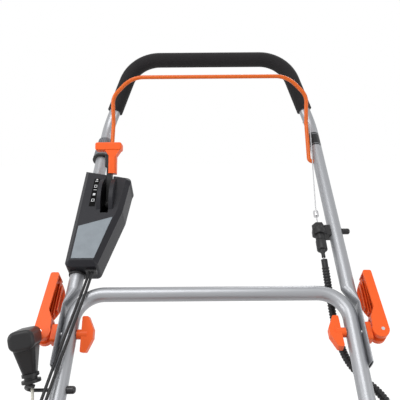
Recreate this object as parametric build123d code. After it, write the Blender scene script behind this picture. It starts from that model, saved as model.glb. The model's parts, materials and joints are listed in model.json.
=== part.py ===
from build123d import *
import os
from math import atan2, cos, degrees, pi, radians, sin, sqrt, tan

# Push lawn mower in millimetres: wheels on z = 0, front towards -Y, grip towards +Y.
# Left and right are as the walker behind the mower has them, so left is +X.
# Handle pieces are drawn flat in (x, t, n): t runs up the lower handle from the fold axis, n is square to it.

# Handle tubes
TUBE_R = 11.0
TUBE_WALL = 1.2
HANDLE_ANGLE = 42.0
FOLD_HEIGHT = 567.0
LOWER_HALF = 202.0
LOWER_LENGTH = 504.0
CROSSBAR_T = 63.5
CROSSBAR_BEND = 43.0
FLAT_THICK = 5.2
FLAT_WIDE = 31.0
FLAT_TAIL = 48.0
FLAT_TOP = 42.0
FLAT_BLEND = 28.0
FLAT_GAP = 0.3
BEND_T = 438.0
BEND_HALF = 201.0
BEND_ANGLE = 25.0
BEND_R = 90.0
GRIP_RISE = 149.5
GRIP_LEAN = 17.7
GRIP_CORNER_R = 70.0
FOAM_R = 14.9
FOAM_START = 34.5

# Clearances
SLIDE_FIT = 0.05
BOLT_FIT = 0.1
SEAT_GAP = 0.3
OVERCUT = 1.0
FAR = 600.0

# Bail
BAIL_R = 3.7
BAIL_HALF = 184.5
BAIL_PIVOT_T = 340.0
BAIL_OPEN = 21.0
BAIL_LOWER = 81.0
BAIL_UPPER = 87.5
BAIL_CHAMFER = 36.5
BAIL_END_DEPTH = 9.0

# Throttle control housing on the right leg
HOUSING_BOTTOM = 99.0
HOUSING_FRONT = 30.0
HOUSING_BACK = 16.5
HOUSING_WALL = 2.5
HOUSING_MARGIN = 4.6
HOUSING_CHAMFER = 7.0
HOUSING_CROWN = 13.0
HOUSING_SHOULDER = 18.0
HOUSING_EAR = 4.5
HOUSING_TOP_R = 10.0
HOUSING_LOW_R = 7.0
HOUSING_FLARE = ((-12.0, 0.0), (4.0, 0.31), (16.0, 0.54), (22.0, 0.83))
HUMP_T = 238.0
HUMP_R = 45.0
HUMP_X = -174.5
HUMP_WIDE = 26.0
SLOT_WIDE = 13.0
SLOT_LOW = 40.0
PIN_R = 3.0
ARM_THICK = 4.0
ARM_WIDE = 12.0
ARM_ANGLE = 58.0
KNOB_REACH = 103.0
KNOB_BAR = 46.0
KNOB_OFFSET = 3.0
KNOB_SHIFT = 4.0
KNOB_ROOT = 55.0
STEM_WIDE = 13.5
STEM_DEEP = 17.0
KNOB_BAR_DEEP = 19.0
KNOB_BAR_HIGH = 14.0
KNOB_FLARE = 6.0
KNOB_FLARE_HIGH = 9.0
PANEL_THICK = 1.2
PANEL_MARGIN = 3.0
PANEL_HIGH = 71.0
PANEL_RISE = 18.0
SCREW_R = 1.75
SCREW_HEAD_R = 3.6
SCREW_HEAD_HIGH = 2.5
SCREW_BOSS = 3.0
GROMMET_WIDE = 16.0
GROMMET_DEEP = 11.0
GROMMET_LONG = 9.0
COLLAR_T = 346.0
COLLAR_LONG = 50.0
COLLAR_R_LOW = 17.0
COLLAR_R_TOP = 13.8
COLLAR_GROOVES = 22
COLLAR_GROOVE = 1.8
COLLAR_RIM = 8.0

# Cables, and the brake gear on the left leg
CABLE_R = 2.1
CABLE_GAP = 6.0
CONTROL_STOP_X = -97.0
CONTROL_BOW = (-30.0, -25.0)
BRAKE_STOP_X = 86.0
BRAKE_BOW = (44.0, -20.0)
HANG_SHARES = (0.15, 0.29, 0.43, 0.57, 0.70, 0.81, 0.91, 1.0)
WIRE_R = 0.9
CONDUIT_R = 5.8
CONDUIT_RIB = 0.9
CONDUIT_RIBS = 58
CONDUIT_PITCH = 4.4
ADJUSTER_X = 178.0
ADJUSTER_N = 5.0
ADJUSTER_SEAT_T = 178.0
ADJUSTER_R = 7.5
ADJUSTER_SLEEVE_R = 6.5
ADJUSTER_TIP_R = 3.0
ADJUSTER_LONG = 54.0
HEX_R = 10.5
HEX_HIGH = 10.0
FERRULE_R = 4.0
FERRULE_LONG = 11.0
FERRULE_T = 21.0
CONDUIT_DROP = 58.0
CLIP_WALL = 3.5
CLIP_LONG = 10.0
STUD_R = 3.0
STUD_NUT_R = 5.0
STUD_NUT_LONG = 13.0

# Fold clamps
BOLT_R = 4.0
NUT_SHARE = 1.7
NUT_HIGH = 6.0
CAM_HEAD_R = 12.0
CAM_OFFSET = 3.0
CAM_WIDE = 25.0
CAM_LONG = 96.0
CAM_ARM = 13.0
CAM_TAPER = 6.0
CAM_WALL = 4.0
CAM_SKIN = 2.0
CAM_RIBS = 3
CAM_CLEAR = 4.0
CAM_PIN_R = 2.5
SADDLE_THICK = 7.4
SADDLE_LOW = 14.0
SADDLE_HIGH = 13.0
SADDLE_HALF = 10.0
EYE_WIDE = 8.6
EYE_SHARE = 2.6
HUB_R = 7.0
HUB_LONG = 6.5
WING_LONG = 50.0
WING_THICK = 12.0
WING_DEEP = 17.0
WING_TURN_LEFT = -7.0
WING_TURN_RIGHT = 18.0

# Starter grip, rope and guide
GUIDE_T = -78.0
GUIDE_R = 2.4
GUIDE_NUT_R = 5.2
GUIDE_NUT_LONG = 11.0
RING_TURN = 215.0
RING_X = -235.0
RING_R = 8.0
ROPE_R = 2.0
ROPE_LEAD = 18.0
GRIP_SIDE = 11.0
GRIP_BACK = 15.0
GRIP_YAW = 8.0
GRIP_HIGH = 70.0
GRIP_BAR = 56.0
GRIP_BAR_WIDE = 33.0
GRIP_BAR_HIGH = 26.0
GRIP_BAR_R = 10.0
GRIP_STEM_TOP = 29.0
GRIP_STEM_LOW = 17.0
GRIP_COLLAR_R = 12.5
GRIP_COLLAR_HIGH = 4.0
GRIP_NECK_R = 8.5
GRIP_NECK_TOP = 12.0

# Chassis
WHEELBASE = 520.0
FOOT_AHEAD = 65.0
FRONT_WHEEL_R = 90.0
REAR_WHEEL_R = 100.0
WHEEL_WIDE = 44.0
RIM_SHARE = 0.70
WHEEL_GAP = 7.0
WHEEL_HUB_R = 14.0
HUB_INSET = 8.0
RIM_WALL = 5.0
RIM_LIP = 4.0
RIM_HOLES = 6
TREAD_DEEP = 2.5
TREAD_WIDE = 3.2
TREAD_STEP = 8.0
SIDE_DEEP = 9.0
AXLE_R = 6.0
DECK_HALF = 228.0
DECK_TOP = 150.0
DECK_BOTTOM = 50.0
DECK_WALL = 2.5
DECK_FRONT_R = 120.0
DECK_REAR_R = 40.0
DECK_EDGE_R = 18.0
DECK_NOSE = 45.0
DECK_TAIL = 8.0
PLATE_THICK = 4.0
BRACKET_WALL = 3.0
BRACKET_GAP = 0.2
FLAP_HALF = 160.0
FLAP_HIGH = 82.0
FLAP_THICK = 4.0
FLAP_PIN_R = 3.0
FLAP_MARGIN = 12.0
FLAP_RIBS = 5
EAR_THICK = 6.0
WHEEL_PLATE_LONG = 120.0
WHEEL_PLATE_LEAD = 24.0
BRACKET_LEAD = 60.0
BRACKET_HEEL = 30.0

# Engine and blade
ENGINE_FROM_AXLE = 250.0
SHAFT_R = 12.7
FLANGE_R = 105.0
FLANGE_THICK = 12.0
BOLT_SHARE = 0.88
BLOCK_CORNER_R = 38.0
BLOCK_HALF = 85.0
BLOCK_TOP = 250.0
CYLINDER_HALF = 48.0
CYLINDER_LONG = 105.0
FIN_HALF = 62.0
FINS = 8
PLUG_R = 6.8
PLUG_DEEP = 15.0
BOOT_R = 10.0
BOOT_LONG = 34.0
BOOT_CAP_R = 9.0
BOOT_CAP_HIGH = 26.0
SHROUD_R = 120.0
SHROUD_TOP = 330.0
SHROUD_WALL = 3.0
SHROUD_EDGE_R = 9.0
SHROUD_OVERHANG = 8.0
SHROUD_SETBACK = 20.0
SHROUD_LEDGE = 14.0
STOP_LONG = 32.0
STOP_GRIP = 12.0
STOP_REACH = SHROUD_R + 13.0
STOP_DROP = 26.0
STOP_SHARE = 2.6
STARTER_R = 98.0
STARTER_TOP = 392.0
STARTER_WALL = 3.0
STARTER_EDGE_R = 22.0
STARTER_LIP = 4.5
SPINDLE_R = 8.0
EYELET_WALL = 5.0
EYELET_LONG = 14.0
VENTS = 16
VENT_LONG = 33.0
VENT_WIDE = 7.0
OIL_CAP_R = 17.0
OIL_NECK_R = 13.0
OIL_PLUG_R = 8.5
OIL_CAP_HIGH = 13.0
OIL_LUGS = 8
OIL_TOP = 225.0
FLYWHEEL_R = 85.0
FLYWHEEL_THICK = 22.0
FLYWHEEL_CLEAR = 12.0
VANES = 14
VANE_LONG = 30.0
PULLEY_R = 36.0
PULLEY_Z = 352.0
PULLEY_HALF = 8.0
COVER_CORNER_R = 14.0
SLOT_HIGH = 4.0
SLOT_DEEP = 3.0
TANK_WIDE = 92.0
TANK_LONG = 132.0
TANK_NECK = 62.0
FUEL_NECK_R = 22.0
FUEL_PLUG_R = 17.5
FUEL_CAP_R = 27.0
FUEL_CAP_HIGH = 16.0
FUEL_LUGS = 12
CAP_FLUTE_R = 2.2
CAP_PLUG = 14.0
FILTER_WIDE = 84.0
FILTER_LONG = 126.0
FILTER_SLOTS = 4
MUFFLER_WIDE = 56.0
MUFFLER_LONG = 88.0
MUFFLER_R = 12.0
MUFFLER_SLOTS = 5
BLADE_LONG = 430.0
BLADE_WIDE = 52.0
BLADE_THICK = 4.0
BLADE_Z = 62.0
BLADE_WING = 80.0
BLADE_LIFT = 14.0
BLADE_BOLT_DEEP = 18.0
BLADE_BOLT_HEX = 9.0
BLADE_WASHER_R = 14.0
BLADE_WASHER = 2.5
ADAPTER_R = 22.0
ADAPTER_HIGH = 34.0

# Values that follow from the sizes above
S, C = sin(radians(HANDLE_ANGLE)), cos(radians(HANDLE_ANGLE))
TOP_ANGLE = radians(HANDLE_ANGLE + BEND_ANGLE)
REACH_REAR = BEND_T * C + GRIP_RISE * cos(TOP_ANGLE) + FOAM_R
REAR_AXLE_AHEAD = LOWER_LENGTH * C - FOOT_AHEAD
REACH_FRONT = REAR_AXLE_AHEAD + WHEELBASE + FRONT_WHEEL_R
FOLD_Y = (REACH_FRONT - REACH_REAR) / 2
REAR_AXLE_Y = FOLD_Y - REAR_AXLE_AHEAD
FRONT_AXLE_Y = REAR_AXLE_Y - WHEELBASE
ENGINE_Y = FRONT_AXLE_Y + ENGINE_FROM_AXLE
HANDLE = Plane(origin=(0, FOLD_Y, FOLD_HEIGHT), x_dir=(1, 0, 0), z_dir=(0, -S, C))
FLAT_X = LOWER_HALF + TUBE_R + FLAT_GAP + FLAT_THICK / 2
FLAT_OUT = FLAT_X + FLAT_THICK / 2
LEG_START_T = FLAT_TOP + FLAT_BLEND
LEG_START_X = FLAT_OUT - TUBE_R
LEG_SLOPE = (LEG_START_X - BEND_HALF) / (BEND_T - LEG_START_T)
BEND_DIR = Vector(0, cos(radians(BEND_ANGLE)), sin(radians(BEND_ANGLE)))
BOLT_HOLE = BOLT_R + BOLT_FIT

os.makedirs("parts", exist_ok=True)


# Helpers
def save(name, shape):
    export_step(shape, f"parts/{name}.step")


def group(shapes):
    return Compound(children=[solid for shape in shapes for solid in shape.solids()])


def on_handle(shape):
    return HANDLE.location * shape


def to_world(x, t, n):
    return HANDLE.from_local_coords(Vector(x, t, n))


def both_sides(shape):
    return [shape, mirror(shape, about=Plane.YZ)]


def block(x0, x1, y0, y1, z0, z1):
    return Pos((x0 + x1) / 2, (y0 + y1) / 2, (z0 + z1) / 2) * Box(x1 - x0, y1 - y0, z1 - z0)


def rod_x(radius, x0, x1, y=0.0, z=0.0):
    return Pos((x0 + x1) / 2, y, z) * Rot(0, 90, 0) * Cylinder(radius, abs(x1 - x0))


def rod_y(radius, y0, y1, x=0.0, z=0.0):
    return Pos(x, (y0 + y1) / 2, z) * Rot(90, 0, 0) * Cylinder(radius, abs(y1 - y0))


def rod_z(radius, z0, z1, x=0.0, y=0.0):
    return Pos(x, y, (z0 + z1) / 2) * Cylinder(radius, abs(z1 - z0))


def prism(points, z0, z1):
    return Pos(0, 0, z0) * extrude(make_face(Polyline(*points, close=True)), z1 - z0)


def swept(path, radius):
    section = Plane(origin=path @ 0, z_dir=path % 0) * Circle(radius)
    return sweep(section, path=path)


def mirrored_points(half):
    return half + [(-x, t, n) for x, t, n in reversed(half)]


# Largest tangent arcs that the two runs at each corner leave room for
def cord_path(name, points, share=0.45):
    spots = [Vector(*p) for p in points]
    radii = []
    for a, b, c in zip(spots, spots[1:], spots[2:]):
        turn = radians((b - a).get_angle(c - b))
        radii.append(share * min((b - a).length, (c - b).length) / tan(turn / 2))
    path = FilletPolyline(*spots, radius=radii)
    print(name, "length", round(path.length), "radii", [round(r) for r in radii])
    return path


def leg_x(t):
    return LEG_START_X - (t - LEG_START_T) * LEG_SLOPE


def leg_rod(side, radius, t0, t1):
    start = Vector(side * leg_x(t0), t0, 0)
    end = Vector(side * leg_x(t1), t1, 0)
    return swept(Line(start, end), radius)


# Upper handle: bent leg, converging top and grip bar
def bend_point(rise):
    lean = rise * tan(radians(GRIP_LEAN))
    return (BEND_HALF - lean, BEND_T + rise * BEND_DIR.Y, rise * BEND_DIR.Z)


def upper_form(shrink):
    half = [(LEG_START_X, LEG_START_T, 0), bend_point(0), bend_point(GRIP_RISE)]
    path = FilletPolyline(*mirrored_points(half), radius=[BEND_R, GRIP_CORNER_R, GRIP_CORNER_R, BEND_R])
    form = swept(path, TUBE_R - shrink)
    oval = Ellipse(FLAT_WIDE / 2 - shrink, FLAT_THICK / 2 - shrink)
    low = Plane(origin=(FLAT_X, FLAT_TOP, 0), x_dir=(0, 0, 1), z_dir=(0, 1, 0)) * oval
    high = Plane(origin=path @ 0, x_dir=(0, 0, 1), z_dir=path % 0) * Circle(TUBE_R - shrink)
    end = extrude(low, -(FLAT_TOP + FLAT_TAIL)) + loft([low, high])
    for half_end in both_sides(end):
        form = form + half_end
    return form


def upper_handle_tube():
    tube = upper_form(0) - upper_form(TUBE_WALL)
    for side in (-1, 1):
        pivot_x = leg_x(BAIL_PIVOT_T)
        tube -= rod_x(BOLT_HOLE, side * LOWER_HALF, side * (FLAT_OUT + TUBE_R))
        tube -= rod_x(BAIL_R + SLIDE_FIT, side * (pivot_x - 2 * TUBE_R), side * pivot_x, BAIL_PIVOT_T)
    stud_x = leg_x(ADJUSTER_SEAT_T)
    tube -= rod_x(STUD_R + BOLT_FIT, stud_x - 2 * TUBE_R, stud_x + 2 * TUBE_R, ADJUSTER_SEAT_T)
    return tube


def foam_grip():
    half = [bend_point(FOAM_START), bend_point(GRIP_RISE)]
    path = FilletPolyline(*mirrored_points(half), radius=GRIP_CORNER_R)
    return swept(path, FOAM_R) - swept(path, TUBE_R + SLIDE_FIT)


# Bail: one bent rod, its ends hooked into the legs
def bail_point(along_upper, inset=0.0):
    low, high = radians(BAIL_OPEN), radians(BAIL_OPEN + BEND_ANGLE)
    t = BAIL_PIVOT_T + BAIL_LOWER * cos(low) + along_upper * cos(high)
    n = BAIL_LOWER * sin(low) + along_upper * sin(high)
    return (BAIL_HALF - inset, t, n)


def wire_hole():
    x, t, n = bail_point(0)
    return rod_x(WIRE_R + BOLT_FIT, x - 3 * BAIL_R, x + 3 * BAIL_R, t, n)


def bail():
    end_x = leg_x(BAIL_PIVOT_T) - TUBE_R + BAIL_END_DEPTH
    half = [
        (end_x, BAIL_PIVOT_T, 0),
        (BAIL_HALF, BAIL_PIVOT_T, 0),
        bail_point(0),
        bail_point(BAIL_UPPER - BAIL_CHAMFER),
        bail_point(BAIL_UPPER, BAIL_CHAMFER),
    ]
    hook_bend = leg_x(BAIL_PIVOT_T) - TUBE_R - SEAT_GAP - BAIL_HALF
    bends = [hook_bend, 7 * BAIL_R, 8 * BAIL_R, 15 * BAIL_R]
    path = FilletPolyline(*mirrored_points(half), radius=bends + bends[::-1])
    return swept(path, BAIL_R) - wire_hole()


# Throttle control: two shells round the right leg
def housing_outline():
    left_low = -leg_x(HOUSING_BOTTOM) - TUBE_R - HOUSING_MARGIN
    top = HUMP_T + HUMP_R + HOUSING_CROWN
    left_top = -leg_x(top) - TUBE_R - HOUSING_MARGIN
    right = HUMP_X + HUMP_WIDE / 2
    high = top - HOUSING_BOTTOM
    flare = [(right + out, HOUSING_BOTTOM + share * high) for out, share in HOUSING_FLARE]
    shoulder = (flare[-1][0] + HOUSING_EAR, top - HOUSING_SHOULDER)
    face = make_face(Polyline((left_low, HOUSING_BOTTOM), *flare, shoulder, (left_top, top), close=True))
    corners = face.vertices().sort_by(Axis.X)
    face = fillet(corners[-2:], HOUSING_TOP_R)
    return fillet(face.vertices().group_by(Axis.Y)[0], HOUSING_LOW_R)


def housing_slab(inset, z0, z1):
    outline = housing_outline()
    if inset:
        outline = offset(outline, -inset, kind=Kind.INTERSECTION)
    return Pos(0, 0, z0) * extrude(outline, z1 - z0)


SCREWS = [(HUMP_X + 25, HUMP_T + 17), (HUMP_X + 2, HOUSING_BOTTOM + 66), (HUMP_X - 12, HOUSING_BOTTOM + 31)]


def leg_bore():
    return leg_rod(-1, TUBE_R + SLIDE_FIT, HOUSING_BOTTOM - 2 * TUBE_R, HUMP_T + 3 * HUMP_R)


def grommet_form(grow):
    form = Box(GROMMET_WIDE + 2 * grow, GROMMET_LONG, GROMMET_DEEP + 2 * grow)
    return Pos(CABLE_X - CABLE_CLOSE * CABLE_GAP / 2, HOUSING_BOTTOM, CABLE_N) * form


def control_cover():
    shell = housing_slab(0, 0, HOUSING_FRONT)
    shell = chamfer(shell.faces().sort_by(Axis.Z)[-1].edges(), HOUSING_CHAMFER)
    cover = shell - housing_slab(HOUSING_WALL, -OVERCUT, HOUSING_FRONT - HOUSING_CHAMFER)
    cover -= housing_slab(HOUSING_WALL + HOUSING_CHAMFER, -OVERCUT, HOUSING_FRONT - HOUSING_WALL)
    for x, t in SCREWS:
        cover += rod_z(SCREW_R + SCREW_BOSS, 0, HOUSING_FRONT - HOUSING_WALL / 2, x, t)
    hump = rod_x(HUMP_R, HUMP_X - HUMP_WIDE / 2, HUMP_X + HUMP_WIDE / 2, HUMP_T)
    cover += hump & block(-FAR, 0, 0, FAR, 0, 2 * HUMP_R)
    cover += hump & block(-FAR, 0, HUMP_T - 3 * PIN_R, HUMP_T + 3 * PIN_R, -2.5 * PIN_R, OVERCUT)
    slot_left, slot_right = HUMP_X - SLOT_WIDE / 2, HUMP_X + SLOT_WIDE / 2
    cover -= block(slot_left, slot_right, HUMP_T - SLOT_LOW, HUMP_T + 2 * HUMP_R, -HUMP_R, 2 * HUMP_R)
    cover -= rod_x(PIN_R + SLIDE_FIT, HUMP_X - HUMP_WIDE, HUMP_X + HUMP_WIDE, HUMP_T)
    for x, t in SCREWS:
        cover -= rod_z(SCREW_R + SLIDE_FIT, -OVERCUT, HOUSING_FRONT / 2, x, t)
    return cover - leg_bore() - grommet_form(SLIDE_FIT)


def control_back():
    shell = housing_slab(0, -HOUSING_BACK, 0)
    shell = chamfer(shell.faces().sort_by(Axis.Z)[0].edges(), HOUSING_CHAMFER / 2)
    back = shell - housing_slab(HOUSING_WALL, HOUSING_WALL - HOUSING_BACK, OVERCUT)
    for x, t in SCREWS:
        back += rod_z(SCREW_R + SCREW_BOSS, HOUSING_WALL / 2 - HOUSING_BACK, 0, x, t)
        back -= rod_z(SCREW_R + BOLT_FIT, -2 * HOUSING_BACK, OVERCUT, x, t)
    return back - leg_bore() - grommet_form(SLIDE_FIT)


def control_screws():
    screws = []
    for x, t in SCREWS:
        shank = rod_z(SCREW_R, -HOUSING_BACK, HOUSING_FRONT / 3, x, t)
        screws.append(shank + rod_z(SCREW_HEAD_R, -HOUSING_BACK - SCREW_HEAD_HIGH, -HOUSING_BACK, x, t))
    return group(screws)


def grip_panel():
    right = HUMP_X + HUMP_WIDE / 2
    left = -leg_x(HOUSING_BOTTOM) - TUBE_R - HOUSING_MARGIN + HOUSING_CHAMFER + PANEL_MARGIN
    low = HOUSING_BOTTOM + HOUSING_CHAMFER + PANEL_MARGIN
    high = HOUSING_BOTTOM + PANEL_HIGH
    points = [
        (left, low), (right - 16.5, low), (right + 2.5, high + PANEL_RISE), (left + PANEL_MARGIN / 2, high),
    ]
    return prism(points, HOUSING_FRONT, HOUSING_FRONT + PANEL_THICK)


def throttle_pin():
    return rod_x(PIN_R, HUMP_X - HUMP_WIDE / 2, HUMP_X + HUMP_WIDE / 2, HUMP_T)


ARM_TOP = KNOB_REACH - KNOB_BAR_HIGH / 2 + SLIDE_FIT


def throttle_place(shape):
    return Pos(HUMP_X, HUMP_T, 0) * Rot(-ARM_ANGLE, 0, 0) * shape


def throttle_arm():
    arm = rod_x(ARM_WIDE * 0.75, -ARM_THICK / 2, ARM_THICK / 2)
    arm += block(-ARM_THICK / 2, ARM_THICK / 2, -ARM_WIDE / 2, ARM_WIDE / 2, 0, ARM_TOP)
    arm -= rod_x(PIN_R + SLIDE_FIT, -ARM_THICK, ARM_THICK)
    return throttle_place(arm)


def throttle_knob():
    half, flare = STEM_WIDE / 2, STEM_WIDE / 2 + KNOB_FLARE
    waist = ARM_TOP - KNOB_FLARE_HIGH
    points = [
        (KNOB_SHIFT - half, KNOB_ROOT), (KNOB_SHIFT + half, KNOB_ROOT), (KNOB_SHIFT + half, waist),
        (KNOB_SHIFT + flare, ARM_TOP), (KNOB_SHIFT - flare, ARM_TOP), (KNOB_SHIFT - half, waist),
    ]
    stem = extrude(Plane.XZ * make_face(Polyline(*points, close=True)), STEM_DEEP / 2, both=True)
    stem = fillet(stem.edges().filter_by(Axis.Z), 0.2 * STEM_DEEP)
    bar = Pos(-KNOB_OFFSET, 0, KNOB_REACH) * Box(KNOB_BAR, KNOB_BAR_DEEP, KNOB_BAR_HIGH)
    bar = fillet(bar.edges().filter_by(Axis.Y), 0.26 * KNOB_BAR_HIGH)
    bar = fillet(bar.faces().sort_by(Axis.Z)[-1].edges(), 0.16 * KNOB_BAR_HIGH)
    half_x, half_y = ARM_THICK / 2 + SLIDE_FIT, ARM_WIDE / 2 + SLIDE_FIT
    slot = block(-half_x, half_x, -half_y, half_y, 0, ARM_TOP)
    return throttle_place(bar + stem - slot)


def ribbed_collar():
    start = Vector(-leg_x(COLLAR_T), COLLAR_T, 0)
    axis = Vector(LEG_SLOPE, 1, 0)
    collar = Pos(0, 0, COLLAR_LONG / 2) * Cone(COLLAR_R_LOW, COLLAR_R_TOP, COLLAR_LONG)
    slant = degrees(atan2(COLLAR_R_LOW - COLLAR_R_TOP, COLLAR_LONG))
    groove = Pos(0, 0, COLLAR_LONG / 2 + COLLAR_RIM) * Box(COLLAR_GROOVE, COLLAR_GROOVE, COLLAR_LONG)
    groove = Pos(COLLAR_R_LOW, 0, 0) * Rot(0, -slant, 0) * groove
    for i in range(COLLAR_GROOVES):
        collar -= Rot(0, 0, i * 360 / COLLAR_GROOVES) * groove
    collar -= rod_z(TUBE_R + SLIDE_FIT, -OVERCUT, COLLAR_LONG + OVERCUT)
    collar = Plane(origin=start, x_dir=(0, 0, 1), z_dir=axis).location * collar
    flat_x = -BAIL_HALF - BAIL_R - 3 * SEAT_GAP
    return collar - block(flat_x, 0, 0, FAR, -COLLAR_LONG, COLLAR_LONG)


# Cables on the right: from the grommet down past the lower tube to the engine
CABLE_X = HUMP_X - 6
CABLE_N = 11.0
CABLE_CLOSE = 0.8


def control_route(shift):
    out = CABLE_X - CABLE_CLOSE * shift
    leg = -LOWER_HALF - shift
    held = [
        (out, HOUSING_BOTTOM + 8, CABLE_N),
        (out - 1, HOUSING_BOTTOM - 16, CABLE_N + 4),
        (leg + 15, 40, TUBE_R + 8),
        (leg + 4, -25, TUBE_R + 9.5),
        (leg - 8, -95, TUBE_R + 9),
        (leg - 16, -160, TUBE_R + 10),
        (leg - 17, -225, TUBE_R + 11),
    ]
    return held + hung(held[-1], stop_spot(CONTROL_STOP_X - shift), CONTROL_BOW)


# Where a cable meets the shroud wall, in handle coordinates
def stop_spot(x):
    y = ENGINE_Y + sqrt(STOP_REACH ** 2 - x ** 2)
    return HANDLE.to_local_coords(Vector(x, y, SHROUD_TOP - STOP_DROP))


# Free stretch of a cable: from its last hold to its stop in one bow
def hung(hold, stop, bow):
    start = Vector(*hold)
    points = []
    for share in HANG_SHARES:
        swing = sin(pi * share)
        spot = start + (stop - start) * share + Vector(bow[0] * swing, 0, bow[1] * swing)
        points.append((spot.X, spot.Y, spot.Z))
    return points


def control_cord(shift):
    return cord_path("control cable", control_route(shift))


def cable_grommet():
    grommet = grommet_form(0)
    for shift in (0, CABLE_GAP):
        grommet -= swept(control_cord(shift), CABLE_R + SLIDE_FIT)
    return grommet


# Brake gear on the left leg: adjuster, bracket, wire and conduit
def cable_adjuster():
    bore = WIRE_R + BOLT_FIT
    profile = [
        (bore, -ADJUSTER_LONG), (ADJUSTER_TIP_R, -ADJUSTER_LONG), (ADJUSTER_TIP_R, -0.87 * ADJUSTER_LONG),
        (ADJUSTER_SLEEVE_R, -0.7 * ADJUSTER_LONG), (ADJUSTER_SLEEVE_R, -0.4 * ADJUSTER_LONG),
        (ADJUSTER_R, -0.4 * ADJUSTER_LONG), (ADJUSTER_R, 0), (bore, 0),
    ]
    face = make_face(Polyline(*[(r, 0, z) for r, z in profile], close=True))
    body = revolve(face, Axis.Z)
    head = extrude(RegularPolygon(HEX_R, 6), HEX_HIGH) - rod_z(bore, -OVERCUT, 2 * HEX_HIGH)
    head = fillet(head.faces().sort_by(Axis.Z)[-1].outer_wire().edges(), 0.2 * HEX_HIGH)
    adjuster = body + head
    place = Plane(origin=(ADJUSTER_X, ADJUSTER_SEAT_T, ADJUSTER_N), x_dir=(1, 0, 0), z_dir=(0, 1, 0))
    return place.location * adjuster


def cable_bracket():
    seat = ADJUSTER_SEAT_T
    centre = (ADJUSTER_X, seat - CLIP_LONG / 2, ADJUSTER_N)
    ring_place = Plane(origin=centre, x_dir=(1, 0, 0), z_dir=(0, 1, 0))
    bracket = ring_place.location * Cylinder(ADJUSTER_R + CLIP_WALL, CLIP_LONG)
    leg = leg_x(seat)
    bracket += block(ADJUSTER_X, leg - TUBE_R + 2, seat - 1.2 * CLIP_LONG, seat + 8, -8, 8)
    bracket -= block(0, leg - TUBE_R - 6.5, seat, seat + FAR, -FAR, FAR)
    bracket -= leg_rod(1, TUBE_R + SLIDE_FIT, seat - 3 * CLIP_LONG, seat + 3 * CLIP_LONG)
    bracket -= ring_place.location * Cylinder(ADJUSTER_R + SLIDE_FIT, 4 * CLIP_LONG)
    stud_root = ADJUSTER_X + ADJUSTER_R + 5
    bracket -= rod_x(STUD_R + SLIDE_FIT, stud_root, leg, ADJUSTER_SEAT_T)
    nut_x = leg + TUBE_R + SLIDE_FIT
    stud = rod_x(STUD_R, stud_root, nut_x + STUD_NUT_LONG / 2, ADJUSTER_SEAT_T)
    nut = rod_x(STUD_NUT_R, nut_x, nut_x + STUD_NUT_LONG, ADJUSTER_SEAT_T)
    nut = fillet(nut.edges().sort_by(Axis.X)[-1], STUD_NUT_R * 0.7)
    nut -= rod_x(STUD_R + SLIDE_FIT, nut_x - OVERCUT, nut_x + STUD_NUT_LONG / 2, ADJUSTER_SEAT_T)
    return group([bracket, stud, nut])


CONDUIT_TOP_T = ADJUSTER_SEAT_T - CONDUIT_DROP


def brake_wire():
    x, t, n = bail_point(0)
    route = [
        (ADJUSTER_X, CONDUIT_TOP_T + SEAT_GAP, ADJUSTER_N),
        (ADJUSTER_X, ADJUSTER_SEAT_T + 34, ADJUSTER_N),
        (x + BAIL_R + 3, t, n),
        (x - BAIL_R - 3, t, n),
    ]
    wire = swept(FilletPolyline(*route, radius=[60, 2.5]), WIRE_R)
    ferrule_place = Plane(origin=(ADJUSTER_X, ADJUSTER_SEAT_T + FERRULE_T, ADJUSTER_N), z_dir=(0, 1, 0))
    return wire + ferrule_place.location * Cylinder(FERRULE_R, FERRULE_LONG)


def brake_route():
    x, n, foot = ADJUSTER_X, ADJUSTER_N, CONDUIT_TOP_T + 12
    held = [
        (x, foot - 12, n),
        (x + 1.5, foot - 36, n - 8),
        (x + 5, foot - 63, n - 24),
        (x + 8, foot - 94, n - 38),
        (x + 11, foot - 128, n - 41),
        (x + 16, foot - 160, n - 37),
        (x + 32, foot - 188, n - 32),
        (x + 52, foot - 212, n - 26),
        (x + 63, foot - 248, n - 16),
        (x + 65, foot - 300, n - 8),
    ]
    return held + hung(held[-1], stop_spot(BRAKE_STOP_X), BRAKE_BOW)


def brake_cord():
    return cord_path("brake cable", brake_route())


# Conduit: ribs along the first stretch of the brake cable, over its bore
def brake_conduit():
    path = brake_cord()
    span = CONDUIT_RIBS * CONDUIT_PITCH
    low, high = CONDUIT_R - CONDUIT_RIB, CONDUIT_R
    stations = [(0, low), (2 * CONDUIT_R, low)]
    for i in range(CONDUIT_RIBS):
        at = 2 * CONDUIT_R + i * CONDUIT_PITCH
        stations += [(at + 0.20 * CONDUIT_PITCH, low), (at + 0.40 * CONDUIT_PITCH, high)]
        stations += [(at + 0.75 * CONDUIT_PITCH, high), (at + 0.95 * CONDUIT_PITCH, low)]
    stations.append((span + 4 * CONDUIT_R, low))
    rings = []
    for at, radius in stations:
        share = at / path.length
        rings.append(Plane(origin=path @ share, x_dir=(1, 0, 0), z_dir=path % share) * Circle(radius))
    return loft(rings, ruled=True) - swept(path, CABLE_R + SLIDE_FIT)


# Fold clamps: cam lever outside, wing knob inside, on one bolt through both tubes
CAM_CENTRE_X = FLAT_OUT + SADDLE_THICK + 3 * SLIDE_FIT + SEAT_GAP + CAM_HEAD_R
CAM_PIN_X = CAM_CENTRE_X + CAM_OFFSET
WING_FACE_X = LOWER_HALF - TUBE_R - SEAT_GAP - HUB_LONG


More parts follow.
